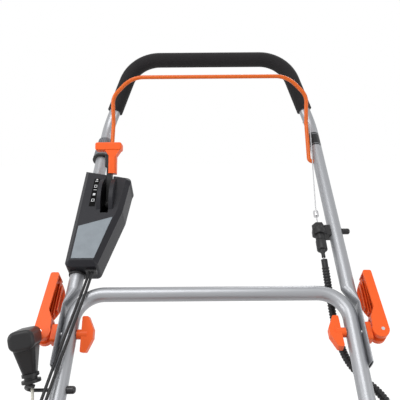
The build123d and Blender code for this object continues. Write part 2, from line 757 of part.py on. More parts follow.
def cam_lever():
    half = CAM_WIDE / 2
    outer, inner = CAM_CENTRE_X + CAM_HEAD_R, CAM_CENTRE_X - CAM_HEAD_R
    tip = outer - CAM_TAPER
    neck = outer - CAM_ARM
    outline = [
        (inner + 1, 2), (outer, 0), (tip, CAM_LONG), (tip - CAM_ARM, CAM_LONG),
        (neck - 2, CAM_LONG * 0.36), (inner + 2, CAM_LONG * 0.2),
    ]
    bar = prism(outline, -half, half)
    bar = fillet(bar.edges().filter_by(Axis.Z).group_by(Axis.Y)[-1], 3)
    web = prism([(outer - CAM_WALL, 0), (outer, 0), (tip, CAM_LONG), (tip - CAM_WALL, CAM_LONG)], -half, half)
    lever = bar & (web + block(0, 2 * outer, 0, CAM_LONG, half - CAM_WALL, half))
    lever += bar & block(0, 2 * outer, -CAM_LONG, CAM_LONG * 0.3, -half, half)
    lever += bar & block(0, 2 * outer, CAM_LONG - CAM_WALL, CAM_LONG, -half, half)
    low, high = (neck, CAM_LONG * 0.24), (tip - CAM_ARM, CAM_LONG * 0.93)
    curve = ThreePointArc(high, (FLAT_OUT + CAM_CLEAR, CAM_LONG * 0.62), low)
    face = make_face([curve, Polyline(low, (outer - 1, low[1]), (tip - 0.5, high[1]), high)])
    swell = Pos(0, 0, -half) * extrude(face, CAM_WIDE - CAM_WALL)
    lever += swell & block(0, 2 * outer, 0, CAM_LONG, -half, -half + CAM_SKIN)
    for i in range(CAM_RIBS):
        at = FLAT_OUT + CAM_CLEAR + 2 * CAM_SKIN * (i + 1)
        lever += swell & block(at, at + CAM_SKIN / 2, 0, CAM_LONG, -half, 0)
    lever += rod_z(CAM_HEAD_R, -half, half, CAM_CENTRE_X, 0)
    fork = EYE_WIDE / 2 + SEAT_GAP
    lever -= block(inner - 20, outer + 10, -2 * CAM_HEAD_R, CAM_HEAD_R + 6, -fork, fork)
    return lever - rod_z(CAM_PIN_R + SLIDE_FIT, -CAM_WIDE, CAM_WIDE, CAM_PIN_X, 0)


def cam_pin():
    return rod_z(CAM_PIN_R, -CAM_WIDE / 2, CAM_WIDE / 2, CAM_PIN_X, 0)


def cam_saddle():
    saddle = block(FLAT_OUT, FLAT_OUT + SADDLE_THICK, -SADDLE_LOW, SADDLE_HIGH, -SADDLE_HALF, SADDLE_HALF)
    saddle = fillet(saddle.edges().filter_by(Axis.X), 0.4 * SADDLE_HALF)
    return Pos(SLIDE_FIT, 0, 0) * saddle - rod_x(BOLT_HOLE, FLAT_X, CAM_PIN_X)


def clamp_bolt():
    bolt = rod_x(BOLT_R, WING_FACE_X - BOLT_R, CAM_PIN_X - CAM_PIN_R)
    bolt += rod_z(EYE_SHARE * CAM_PIN_R, -EYE_WIDE / 2, EYE_WIDE / 2, CAM_PIN_X, 0)
    return bolt - rod_z(CAM_PIN_R + SLIDE_FIT, -EYE_WIDE, EYE_WIDE, CAM_PIN_X, 0)


def wing_knob(turn):
    long = WING_LONG / 2
    face = WING_FACE_X
    points = [
        (face, -long), (face, long), (face - 0.5 * WING_DEEP, long), (face - WING_DEEP, long * 0.25),
        (face - WING_DEEP, -long * 0.25), (face - 0.5 * WING_DEEP, -long),
    ]
    wing = prism(points, -WING_THICK / 2, WING_THICK / 2)
    wing = fillet(wing.edges().filter_by(Axis.Z), 0.2 * WING_THICK)
    wing += rod_x(HUB_R, face - WING_DEEP / 2, face + HUB_LONG)
    wing -= rod_x(BOLT_R + SLIDE_FIT, face - BOLT_R - SEAT_GAP, face + 2 * HUB_LONG)
    return Rot(turn, 0, 0) * wing


# Lower handle and its foot
FOOT_BOLTS = [-LOWER_LENGTH + 14, -LOWER_LENGTH + 49]


def lower_form(radius):
    half = [(LOWER_HALF, -LOWER_LENGTH, 0), (LOWER_HALF, CROSSBAR_T, 0)]
    return swept(FilletPolyline(*mirrored_points(half), radius=CROSSBAR_BEND), radius)


def lower_handle_tube():
    tube = lower_form(TUBE_R) - lower_form(TUBE_R - TUBE_WALL)
    for t in FOOT_BOLTS + [0]:
        for side in (-1, 1):
            tube -= rod_x(BOLT_HOLE, side * (LOWER_HALF - 2 * TUBE_R), side * (LOWER_HALF + 2 * TUBE_R), t)
    return tube - rod_x(GUIDE_R + BOLT_FIT, -LOWER_HALF - 2 * TUBE_R, -LOWER_HALF + 2 * TUBE_R, GUIDE_T)


def rope_guide():
    nut_x = -LOWER_HALF + TUBE_R + SLIDE_FIT
    root_x = nut_x + 0.67 * GUIDE_NUT_LONG
    straight = Line((root_x, GUIDE_T, 0), (RING_X, GUIDE_T, 0))
    ring = JernArc((RING_X, GUIDE_T, 0), (-1, 0, 0), RING_R, -RING_TURN)
    ring = ring.rotate(Axis((RING_X, GUIDE_T, 0), (1, 0, 0)), 90)
    wire = swept(Wire([straight, ring]), GUIDE_R)
    nut = rod_x(GUIDE_NUT_R, nut_x, nut_x + GUIDE_NUT_LONG, GUIDE_T)
    nut = fillet(nut.edges().sort_by(Axis.X)[-1], 0.75 * GUIDE_NUT_R)
    nut -= rod_x(GUIDE_R + SLIDE_FIT, nut_x - OVERCUT, root_x, GUIDE_T)
    return group([wire, nut])


# Starter grip: upright T handle on the guide ring, with the rope to the engine
RING_CENTRE = to_world(RING_X, GUIDE_T, RING_R)
GRIP_AXIS = Vector(-tan(radians(GRIP_SIDE)), tan(radians(GRIP_BACK)), 1).normalized()
RING_LEAN = radians(GRIP_AXIS.get_angle(HANDLE.y_dir))
GRIP_BASE = RING_CENTRE + GRIP_AXIS * (RING_R * sin(RING_LEAN) + GUIDE_R + SEAT_GAP)
GRIP_PLACE = Plane(origin=GRIP_BASE, x_dir=(1, 0, 0), z_dir=GRIP_AXIS)
ROPE_OUTLET = Vector(-0.82 * STARTER_R, ENGINE_Y + 0.57 * STARTER_R, PULLEY_Z)
ROPE_DIR = (ROPE_OUTLET - RING_CENTRE).normalized()


def starter_grip():
    grip = rod_z(GRIP_COLLAR_R, 0, GRIP_COLLAR_HIGH) + rod_z(GRIP_NECK_R, 0, GRIP_NECK_TOP)
    grip += rod_z(0.9 * GRIP_COLLAR_R, GRIP_NECK_TOP - GRIP_COLLAR_HIGH, GRIP_NECK_TOP)
    low = Pos(0, 0, GRIP_NECK_TOP - 1) * RectangleRounded(GRIP_STEM_LOW, GRIP_STEM_LOW, 4)
    stem_top = GRIP_HIGH - GRIP_BAR_HIGH + 3
    high = Pos(0, 0, stem_top) * RectangleRounded(GRIP_STEM_TOP, 0.75 * GRIP_BAR, 6)
    grip += loft([low, high])
    start = (0, -GRIP_BAR / 2, GRIP_HIGH - GRIP_BAR_HIGH / 2)
    section = Plane(origin=start, x_dir=(1, 0, 0), z_dir=(0, 1, 0))
    bar = extrude(section * RectangleRounded(GRIP_BAR_WIDE, GRIP_BAR_HIGH, GRIP_BAR_R), GRIP_BAR)
    ends = bar.faces().sort_by(Axis.Y)
    grip += fillet(ends[0].edges() + ends[-1].edges(), GRIP_BAR_R / 2)
    grip -= rod_z(ROPE_R + SLIDE_FIT, -OVERCUT, GRIP_HIGH / 2)
    return GRIP_PLACE.location * Rot(0, 0, GRIP_YAW) * grip


def starter_rope():
    top = GRIP_BASE + GRIP_AXIS * (GRIP_HIGH / 2 - 1)
    inner = ROPE_OUTLET + ROPE_DIR * ROPE_LEAD
    pulley = Vector(-0.86 * PULLEY_R, ENGINE_Y, PULLEY_Z)
    route = FilletPolyline(top, RING_CENTRE, inner, pulley, radius=[3 * ROPE_R, 5 * ROPE_R])
    print("starter rope length", round(route.length))
    return swept(route, ROPE_R)


# Deck with its handle brackets, axle plates and rear flap
DECK_FRONT_Y = FRONT_AXLE_Y - DECK_NOSE
DECK_REAR_Y = REAR_AXLE_Y - DECK_TAIL
FLAP_PIN_Y = DECK_REAR_Y + 7
FLAP_PIN_Z = DECK_TOP - 14


def deck_form(inset, high):
    long = DECK_REAR_Y - DECK_FRONT_Y - 2 * inset
    outline = Rectangle(2 * (DECK_HALF - inset), long)
    ends = outline.vertices().group_by(Axis.Y)
    outline = fillet(ends[0], DECK_FRONT_R - inset)
    ends = outline.vertices().group_by(Axis.Y)
    outline = fillet(ends[-1], DECK_REAR_R - inset)
    form = Pos(0, (DECK_REAR_Y + DECK_FRONT_Y) / 2, DECK_BOTTOM) * extrude(outline, high - DECK_BOTTOM)
    return fillet(form.faces().sort_by(Axis.Z)[-1].edges(), DECK_EDGE_R - inset)


def deck():
    shell = deck_form(0, DECK_TOP) - deck_form(DECK_WALL, DECK_TOP - DECK_WALL)
    shell -= rod_z(SHAFT_R + 30, 0, 2 * DECK_TOP, 0, ENGINE_Y)
    mouth = FLAP_HALF - FLAP_MARGIN
    mouth_top = FLAP_PIN_Z - 2 * FLAP_MARGIN
    shell -= block(-mouth, mouth, DECK_REAR_Y - 4 * DECK_WALL, DECK_REAR_Y + 4 * DECK_WALL, 0, mouth_top)
    for x, y in ENGINE_BOLTS:
        shell -= rod_z(BOLT_HOLE, 0, 2 * DECK_TOP, x, y)
    for side in (-1, 1):
        ear = Box(EAR_THICK, FLAP_PIN_Y - DECK_REAR_Y + 7, 14)
        ear = Pos(0, (FLAP_PIN_Y + DECK_REAR_Y + 5) / 2, FLAP_PIN_Z - 1) * ear
        shell += Pos(side * (FLAP_HALF + EAR_THICK / 2 + 2), 0, 0) * ear
    far = FLAP_HALF + 3 * EAR_THICK
    return shell - rod_x(FLAP_PIN_R + SLIDE_FIT, -far, far, FLAP_PIN_Y, FLAP_PIN_Z)


def rear_flap():
    low = FLAP_PIN_Z - FLAP_HIGH
    flap = Pos(0, FLAP_PIN_Y, (low + FLAP_PIN_Z) / 2) * Box(2 * FLAP_HALF, FLAP_THICK, FLAP_HIGH)
    flap += rod_x(FLAP_PIN_R + 1.5, -FLAP_HALF, FLAP_HALF, FLAP_PIN_Y, FLAP_PIN_Z)
    for i in range(FLAP_RIBS):
        rib = block(-2, 2, FLAP_PIN_Y, FLAP_PIN_Y + FLAP_THICK / 2 + 3, low, FLAP_PIN_Z - 8)
        flap += Pos(FLAP_HALF * (2 * (i + 0.5) / FLAP_RIBS - 1), 0, 0) * rib
    pin_end = FLAP_HALF + EAR_THICK + 2
    return flap + rod_x(FLAP_PIN_R, -pin_end, pin_end, FLAP_PIN_Y, FLAP_PIN_Z)


def handle_bracket():
    inner = TUBE_R + BRACKET_GAP
    outer = inner + BRACKET_WALL
    foot = to_world(0, -LOWER_LENGTH, 0)
    high = to_world(0, FOOT_BOLTS[1] + 16, 0)
    side = [
        (foot.Y - BRACKET_LEAD, DECK_TOP), (foot.Y + BRACKET_HEEL, DECK_TOP), (high.Y + 12, high.Z - 16),
        (high.Y - 8, high.Z + 14), (foot.Y - 14, foot.Z + 10),
    ]
    face = make_face(Polyline(*[(0, y, z) for y, z in side], close=True))
    plate = extrude(face, BRACKET_WALL, dir=(1, 0, 0))
    bracket = Pos(LOWER_HALF - outer, 0, 0) * plate + Pos(LOWER_HALF + inner, 0, 0) * plate
    left, right = LOWER_HALF - outer, LOWER_HALF + outer
    front, heel = foot.Y - BRACKET_LEAD, foot.Y + BRACKET_HEEL
    bracket += block(left, right, front, heel, DECK_TOP, DECK_TOP + BRACKET_WALL)
    for t in FOOT_BOLTS:
        spot = to_world(0, t, 0)
        bracket -= rod_x(BOLT_HOLE, LOWER_HALF - 2 * outer, LOWER_HALF + 2 * outer, spot.Y, spot.Z)
    return bracket


def handle_bolts():
    reach = TUBE_R + BRACKET_GAP + BRACKET_WALL
    bolts = []
    for t in FOOT_BOLTS:
        spot = to_world(0, t, 0)
        left, right = LOWER_HALF - reach, LOWER_HALF + reach
        bolt = rod_x(BOLT_R, left - NUT_HIGH, right, spot.Y, spot.Z)
        bolt += rod_x(1.9 * BOLT_R, right, right + NUT_HIGH, spot.Y, spot.Z)
        bolt += rod_x(NUT_SHARE * BOLT_R, left - NUT_HIGH, left, spot.Y, spot.Z)
        bolts += both_sides(bolt)
    return group(bolts)


WHEELS = {
    "front": (FRONT_AXLE_Y, FRONT_WHEEL_R, 1),
    "rear": (REAR_AXLE_Y, REAR_WHEEL_R, -1),
}
PLATE_X = DECK_HALF + PLATE_THICK
HUB_X = PLATE_X + WHEEL_GAP
WHEEL_OUT = HUB_X + WHEEL_WIDE
HUB_END = WHEEL_OUT - HUB_INSET


def axle_plate(y, z, inward):
    low, high = sorted((y - inward * WHEEL_PLATE_LEAD, y + inward * WHEEL_PLATE_LONG))
    plate = block(DECK_HALF, PLATE_X, low, high, DECK_BOTTOM + 8, DECK_TOP - DECK_EDGE_R - 4)
    plate = fillet(plate.edges().filter_by(Axis.X), 10)
    return plate - rod_x(AXLE_R + BOLT_FIT, DECK_HALF - WHEEL_GAP, PLATE_X + WHEEL_GAP, y, z)


def wheel_axle(y, z):
    axle = rod_x(AXLE_R, DECK_HALF - NUT_HIGH, HUB_END, y, z)
    axle += rod_x(1.6 * AXLE_R, PLATE_X, HUB_X - SEAT_GAP, y, z)
    axle += rod_x(1.5 * AXLE_R, DECK_HALF - NUT_HIGH, DECK_HALF, y, z)
    return axle + rod_x(1.6 * AXLE_R, HUB_END, HUB_END + HUB_INSET / 2, y, z)


def tyre(y, radius):
    rim_r = RIM_SHARE * radius
    half = WHEEL_WIDE / 2
    side = [
        (half - 3, rim_r), (half, rim_r + RIM_LIP), (half, radius - SIDE_DEEP), (half - 6, radius - 1.5),
        (half - 10, radius),
    ]
    profile = side + [(-x, r) for x, r in reversed(side)]
    face = make_face(Polyline(*[(x, r, 0) for x, r in profile], close=True))
    ring = revolve(face, Axis.X)
    groove = rod_x(radius + OVERCUT, -TREAD_WIDE / 2, TREAD_WIDE / 2)
    groove -= rod_x(radius - TREAD_DEEP, -half, half)
    for at in (-TREAD_STEP, 0, TREAD_STEP):
        ring -= Pos(at, 0, 0) * groove
    return Pos(HUB_X + half, y, radius) * ring


def rim(y, radius):
    rim_r = RIM_SHARE * radius - SLIDE_FIT
    half = WHEEL_WIDE / 2
    barrel = rod_x(rim_r, -half + RIM_LIP, half - RIM_LIP) - rod_x(rim_r - RIM_WALL, -half, half)
    web = rod_x(rim_r - RIM_WALL / 2, -RIM_LIP, RIM_LIP)
    for i in range(RIM_HOLES):
        web -= Rot(i * 360 / RIM_HOLES, 0, 0) * Pos(0, 0.63 * rim_r, 0) * rod_x(0.2 * rim_r, -half, half)
    bore = rod_x(AXLE_R + SLIDE_FIT, -half - OVERCUT, half + OVERCUT)
    hub = rod_x(WHEEL_HUB_R, -half, half - HUB_INSET - SEAT_GAP)
    wheel = barrel + web + hub - bore
    return Pos(HUB_X + half, y, radius) * wheel


# Engine
ENGINE_BOLTS = [
    (sx * BOLT_SHARE * FLANGE_R / sqrt(2), ENGINE_Y + sy * BOLT_SHARE * FLANGE_R / sqrt(2))
    for sx in (-1, 1)
    for sy in (-1, 1)
]
FLANGE_TOP = DECK_TOP + FLANGE_THICK
OIL_X, OIL_Y = 40.0, ENGINE_Y + BLOCK_HALF + OIL_CAP_R + 2
CYLINDER_Z = (FLANGE_TOP + BLOCK_TOP) / 2 + 4
HEAD_Y = ENGINE_Y - BLOCK_HALF - CYLINDER_LONG


def engine_block():
    body = extrude(RectangleRounded(2 * BLOCK_HALF, 2 * BLOCK_HALF, BLOCK_CORNER_R), BLOCK_TOP - FLANGE_TOP)
    engine = rod_z(FLANGE_R, DECK_TOP, FLANGE_TOP, 0, ENGINE_Y) + Pos(0, ENGINE_Y, FLANGE_TOP) * body
    low, high = CYLINDER_Z - 0.72 * CYLINDER_HALF, CYLINDER_Z + 0.72 * CYLINDER_HALF
    engine += block(-CYLINDER_HALF, CYLINDER_HALF, HEAD_Y, ENGINE_Y - BLOCK_HALF + 5, low, high)
    step = CYLINDER_LONG / FINS
    for i in range(FINS):
        y = HEAD_Y + i * step
        engine += block(-FIN_HALF, FIN_HALF, y, y + 0.35 * step, FLANGE_TOP + 3, BLOCK_TOP - 2)
    engine += rod_z(OIL_NECK_R, DECK_TOP + 5, OIL_TOP, OIL_X, OIL_Y)
    web = OIL_NECK_R / 2
    engine += block(OIL_X - web, OIL_X + web, ENGINE_Y, OIL_Y, DECK_TOP + 5, OIL_TOP - OIL_NECK_R)
    engine -= rod_z(OIL_PLUG_R + 2 * SEAT_GAP, FLANGE_TOP, OIL_TOP + OVERCUT, OIL_X, OIL_Y)
    engine -= rod_z(SHAFT_R + SLIDE_FIT, 0, FAR, 0, ENGINE_Y)
    engine -= rod_y(PLUG_R + BOLT_FIT, HEAD_Y - 5, HEAD_Y + PLUG_DEEP + SEAT_GAP, 0, CYLINDER_Z)
    for x, y in ENGINE_BOLTS:
        engine -= rod_z(BOLT_HOLE, 0, FLANGE_TOP + OVERCUT, x, y)
        engine -= rod_z(2 * BOLT_R, FLANGE_TOP, FLANGE_TOP + 3 * NUT_HIGH, x, y)
    return engine


def engine_bolts():
    bolts = []
    for x, y in ENGINE_BOLTS:
        under = DECK_TOP - DECK_WALL
        bolt = rod_z(BOLT_R, under - NUT_HIGH - 1, FLANGE_TOP, x, y)
        bolt += rod_z(NUT_SHARE * BOLT_R, FLANGE_TOP, FLANGE_TOP + NUT_HIGH, x, y)
        bolts.append(bolt + rod_z(NUT_SHARE * BOLT_R, under - NUT_HIGH, under, x, y))
    return group(bolts)


def spark_plug():
    plug = rod_y(PLUG_R, HEAD_Y - PLUG_DEEP, HEAD_Y + PLUG_DEEP, 0, CYLINDER_Z)
    plug += rod_y(BOOT_R, HEAD_Y - BOOT_LONG, HEAD_Y, 0, CYLINDER_Z)
    return plug + rod_z(BOOT_CAP_R, CYLINDER_Z, CYLINDER_Z + BOOT_CAP_HIGH, 0, HEAD_Y - BOOT_LONG + BOOT_R)


def shroud_form(inset, z0, z1):
    form = rod_z(SHROUD_R - inset, z0, z1, 0, ENGINE_Y)
    half = FIN_HALF + SHROUD_OVERHANG - inset
    return form + block(-half, half, HEAD_Y + SHROUD_SETBACK + inset, ENGINE_Y, z0, z1)


# Cables end in stops that stand out from the shroud wall
def blower_shroud():
    outer = shroud_form(0, BLOCK_TOP, SHROUD_TOP)
    outer = fillet(outer.faces().sort_by(Axis.Z)[-1].edges(), SHROUD_EDGE_R)
    cords = [on_handle(cord) for cord in (control_cord(0), control_cord(CABLE_GAP), brake_cord())]
    for cord in cords:
        end = Plane(origin=cord @ 1, z_dir=cord % 1)
        stub = Pos(0, 0, STOP_LONG / 2 - STOP_GRIP) * Cylinder(STOP_SHARE * CABLE_R, STOP_LONG)
        outer += end.location * stub
    shroud = outer - shroud_form(SHROUD_WALL, BLOCK_TOP - OVERCUT, SHROUD_TOP - SHROUD_WALL)
    for cord in cords:
        shroud -= swept(cord, CABLE_R + SLIDE_FIT)
    base = shroud_form(SHROUD_WALL / 2, BLOCK_TOP, BLOCK_TOP + SHROUD_WALL)
    shroud += base - rod_z(FLYWHEEL_R * 0.6, 0, FAR, 0, ENGINE_Y)
    return shroud - rod_z(STARTER_R - SHROUD_LEDGE, BLOCK_TOP + 10, FAR, 0, ENGINE_Y)


def starter_housing():
    dome = rod_z(STARTER_R, SHROUD_TOP, STARTER_TOP, 0, ENGINE_Y)
    dome = fillet(dome.edges().sort_by(Axis.Z)[-1], STARTER_EDGE_R)
    dome += rod_z(STARTER_R + STARTER_LIP, SHROUD_TOP, SHROUD_TOP + STARTER_LIP, 0, ENGINE_Y)
    inner = rod_z(STARTER_R - STARTER_WALL, SHROUD_TOP - OVERCUT, STARTER_TOP - STARTER_WALL, 0, ENGINE_Y)
    inner = fillet(inner.edges().sort_by(Axis.Z)[-1], STARTER_EDGE_R - STARTER_WALL)
    housing = dome - inner
    slot = Pos(0.62 * STARTER_R, 0, STARTER_TOP) * Box(VENT_LONG, VENT_WIDE, 2 * STARTER_EDGE_R)
    for i in range(VENTS):
        housing -= Pos(0, ENGINE_Y, 0) * Rot(0, 0, i * 360 / VENTS) * slot
    housing += rod_z(SPINDLE_R, PULLEY_Z - PULLEY_HALF - 1, STARTER_TOP - STARTER_WALL / 2, 0, ENGINE_Y)
    eyelet = Plane(origin=ROPE_OUTLET, z_dir=ROPE_DIR)
    housing += eyelet.location * Cylinder(ROPE_R + EYELET_WALL, EYELET_LONG) - inner
    return housing - eyelet.location * Cylinder(ROPE_R + OVERCUT, 4 * EYELET_LONG)


def starter_pulley():
    pulley = rod_z(PULLEY_R, PULLEY_Z - PULLEY_HALF, PULLEY_Z + PULLEY_HALF, 0, ENGINE_Y)
    groove = rod_z(2 * PULLEY_R, PULLEY_Z - PULLEY_HALF / 2, PULLEY_Z + PULLEY_HALF / 2, 0, ENGINE_Y)
    pulley -= groove - rod_z(PULLEY_R - PULLEY_HALF, 0, FAR, 0, ENGINE_Y)
    return pulley - rod_z(SPINDLE_R + SLIDE_FIT, 0, FAR, 0, ENGINE_Y)


def flywheel():
    low = BLOCK_TOP + FLYWHEEL_CLEAR
    wheel = rod_z(FLYWHEEL_R - FLYWHEEL_CLEAR, low, low + FLYWHEEL_THICK, 0, ENGINE_Y)
    vane = block(FLYWHEEL_R - VANE_LONG, FLYWHEEL_R, -1.5, 1.5, low + 2, low + VANE_LONG)
    for i in range(VANES):
        wheel += Pos(0, ENGINE_Y, 0) * Rot(0, 0, i * 360 / VANES) * vane
    return wheel - rod_z(SHAFT_R + SLIDE_FIT, 0, FAR, 0, ENGINE_Y)


BLADE_TOP = BLADE_Z + BLADE_THICK


def crankshaft():
    shaft = rod_z(SHAFT_R, BLADE_TOP, BLOCK_TOP + FLYWHEEL_CLEAR + 1.5 * FLYWHEEL_THICK, 0, ENGINE_Y)
    return shaft - rod_z(BOLT_R + SLIDE_FIT, 0, BLADE_TOP + BLADE_BOLT_DEEP + SEAT_GAP, 0, ENGINE_Y)


def blade_adapter():
    hub = rod_z(ADAPTER_R, BLADE_TOP, BLADE_TOP + ADAPTER_HIGH, 0, ENGINE_Y)
    hub += rod_z(1.5 * ADAPTER_R, BLADE_TOP, BLADE_TOP + 0.2 * ADAPTER_HIGH, 0, ENGINE_Y)
    return hub - rod_z(SHAFT_R + SLIDE_FIT, 0, FAR, 0, ENGINE_Y)


def blade():
    half, wide = BLADE_LONG / 2, BLADE_WIDE / 2
    bar = block(-half, half, -wide, wide, 0, BLADE_THICK)
    lift = BLADE_THICK + BLADE_LIFT
    wing = block(half - BLADE_WING, half, 0.4 * wide, wide, BLADE_THICK, lift)
    wing -= Pos(half - BLADE_WING, wide, lift) * Rot(0, 20, 0) * Box(BLADE_WING, BLADE_WIDE, 1.3 * BLADE_LIFT)
    edge = Pos(half - 0.7 * BLADE_WING, -wide, BLADE_THICK) * Rot(40, 0, 0) * Box(1.5 * BLADE_WING, 12, 5)
    for turn in (0, 180):
        bar = bar + Rot(0, 0, turn) * wing - Rot(0, 0, turn) * edge
    return Pos(0, ENGINE_Y, BLADE_Z) * (bar - rod_z(BOLT_HOLE, -OVERCUT, BLADE_THICK + OVERCUT))


def blade_bolt():
    bolt = rod_z(BOLT_R, BLADE_Z, BLADE_TOP + BLADE_BOLT_DEEP, 0, ENGINE_Y)
    bolt += Pos(0, ENGINE_Y, BLADE_Z - NUT_HIGH) * extrude(RegularPolygon(BLADE_BOLT_HEX, 6), NUT_HIGH)
    return bolt + rod_z(BLADE_WASHER_R, BLADE_Z - BLADE_WASHER, BLADE_Z, 0, ENGINE_Y)


TANK_X = BLOCK_HALF + SEAT_GAP
TANK_OUT = TANK_X + TANK_WIDE
TANK_FRONT, TANK_REAR = ENGINE_Y - 0.36 * TANK_LONG, ENGINE_Y + 0.64 * TANK_LONG
TANK_TOP = BLOCK_TOP + TANK_NECK
CAP_X, CAP_Y = TANK_OUT - FUEL_NECK_R - SEAT_GAP, ENGINE_Y + 12


def fuel_tank():
    tank = block(TANK_X, TANK_OUT, TANK_FRONT, TANK_REAR, FLANGE_TOP + FUEL_NECK_R, BLOCK_TOP - SEAT_GAP)
    tank = fillet(tank.edges().filter_by(Axis.Z), COVER_CORNER_R)
    top = TANK_TOP - FUEL_NECK_R
    upper = block(SHROUD_R + SEAT_GAP, TANK_OUT, TANK_FRONT, TANK_REAR, BLOCK_TOP - COVER_CORNER_R, top)
    tank += fillet(upper.edges().sort_by(Axis.Z)[-4:], COVER_CORNER_R / 2)
    tank += rod_z(FUEL_NECK_R, BLOCK_TOP - 2, TANK_TOP, CAP_X, CAP_Y)
    return tank - rod_z(FUEL_PLUG_R + SEAT_GAP, BLOCK_TOP - FUEL_NECK_R, TANK_TOP + OVERCUT, CAP_X, CAP_Y)


def screw_cap(x, y, seat, radius, plug_r, high, lugs):
    low, top = seat + SEAT_GAP, seat + SEAT_GAP + high
    cap = rod_z(radius, low, top, x, y)
    cap = fillet(cap.edges().sort_by(Axis.Z)[-1], 0.2 * high)
    flute = rod_z(CAP_FLUTE_R, low - OVERCUT, top + OVERCUT, radius + 0.35 * CAP_FLUTE_R)
    for i in range(lugs):
        cap -= Pos(x, y, 0) * Rot(0, 0, i * 360 / lugs) * flute
    return cap + rod_z(plug_r, low - CAP_PLUG, low, x, y)


def air_filter_cover():
    right = -BLOCK_HALF - SEAT_GAP
    left = right - FILTER_WIDE
    front, rear = ENGINE_Y - 0.55 * FILTER_LONG, ENGINE_Y + 0.45 * FILTER_LONG
    low = FLANGE_TOP + 2 * FLANGE_THICK
    cover = block(left, right, front, rear, low, BLOCK_TOP - SEAT_GAP)
    cover = fillet(cover.edges().filter_by(Axis.Z), COVER_CORNER_R)
    for i in range(FILTER_SLOTS):
        z = low + COVER_CORNER_R + i * (BLOCK_TOP - low - 2 * COVER_CORNER_R) / FILTER_SLOTS
        cover -= block(left - OVERCUT, left + SLOT_DEEP, front + 26, rear - 26, z, z + SLOT_HIGH)
    return cover


def muffler():
    x = -FIN_HALF - SEAT_GAP
    front = HEAD_Y + SLOT_HIGH
    low, high = FLANGE_TOP + MUFFLER_R, BLOCK_TOP - MUFFLER_R
    can = block(x - MUFFLER_WIDE, x, front, front + MUFFLER_LONG, low, high)
    can = fillet(can.edges().filter_by(Axis.Y), MUFFLER_R)
    for i in range(MUFFLER_SLOTS):
        y = front + (i + 0.8) * MUFFLER_LONG / (MUFFLER_SLOTS + 1)
        left = x - MUFFLER_WIDE
        can -= block(left - OVERCUT, left + SLOT_DEEP, y, y + SLOT_HIGH, low + MUFFLER_R, high - MUFFLER_R)
    return can


# Write every piece
HANDLE_PIECES = {
    "upper_handle_tube": upper_handle_tube(),
    "foam_grip": foam_grip(),
    "bail": bail(),
    "control_cover": control_cover(),
    "control_back": control_back(),
    "control_screws": control_screws(),
    "grip_panel": grip_panel(),
    "throttle_pin": throttle_pin(),
    "throttle_arm": throttle_arm(),
    "throttle_knob": throttle_knob(),
    "ribbed_collar": ribbed_collar(),
    "cable_grommet": cable_grommet(),
    "throttle_cable": swept(control_cord(0), CABLE_R),
    "stop_cable": swept(control_cord(CABLE_GAP), CABLE_R),
    "cable_adjuster": cable_adjuster(),
    "cable_bracket": cable_bracket(),
    "brake_wire": brake_wire(),
    "brake_cable": swept(brake_cord(), CABLE_R),
    "brake_conduit": brake_conduit(),
    "left_cam_lever": cam_lever(),
    "right_cam_lever": mirror(cam_lever(), about=Plane.YZ),
    "cam_pins": group(both_sides(cam_pin())),
    "cam_saddles": group(both_sides(cam_saddle())),
    "clamp_bolts": group(both_sides(clamp_bolt())),
    "left_wing_knob": wing_knob(WING_TURN_LEFT),
    "right_wing_knob": mirror(wing_knob(WING_TURN_RIGHT), about=Plane.YZ),
    "lower_handle_tube": lower_handle_tube(),
    "rope_guide": rope_guide(),
}
for name, shape in HANDLE_PIECES.items():
    save(name, on_handle(shape))

CHASSIS_PIECES = {
    "starter_grip": starter_grip(),
    "starter_rope": starter_rope(),
    "deck": deck(),
    "rear_flap": rear_flap(),
    "handle_brackets": group(both_sides(handle_bracket())),
    "handle_bolts": handle_bolts(),
    "engine_block": engine_block(),
    "engine_bolts": engine_bolts(),
    "spark_plug": spark_plug(),
    "blower_shroud": blower_shroud(),
    "starter_housing": starter_housing(),
    "starter_pulley": starter_pulley(),
    "flywheel": flywheel(),
    "crankshaft": crankshaft(),
    "blade_adapter": blade_adapter(),
    "blade": blade(),
    "blade_bolt": blade_bolt(),
    "fuel_tank": fuel_tank(),
    "fuel_cap": screw_cap(CAP_X, CAP_Y, TANK_TOP, FUEL_CAP_R, FUEL_PLUG_R, FUEL_CAP_HIGH, FUEL_LUGS),
    "oil_cap": screw_cap(OIL_X, OIL_Y, OIL_TOP, OIL_CAP_R, OIL_PLUG_R, OIL_CAP_HIGH, OIL_LUGS),
    "air_filter_cover": air_filter_cover(),
    "muffler": muffler(),
}
for name, shape in CHASSIS_PIECES.items():
    save(name, shape)

plates, axles = [], []
for end, (y, radius, inward) in WHEELS.items():
    plates += both_sides(axle_plate(y, radius, inward))
    axles += both_sides(wheel_axle(y, radius))
    for side, solid in zip(("left", "right"), both_sides(tyre(y, radius))):
        save(f"{end}_{side}_tyre", solid)
    for side, solid in zip(("left", "right"), both_sides(rim(y, radius))):
        save(f"{end}_{side}_rim", solid)
save("axle_plates", group(plates))
save("wheel_axles", group(axles))
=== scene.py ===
# %% [markdown]
# # Push lawn mower
# This notebook dresses a imported CAD mower for a picture. The tubes, levers, wheels and engine are already
# solids of the right size. What they lack is finish: paint, moulded grain, foam, cable and rope. We start
# by loading the frame.

import json
from math import cos, pi, radians, sin, tan

import bmesh
import bpy
from mathutils import Matrix, Vector


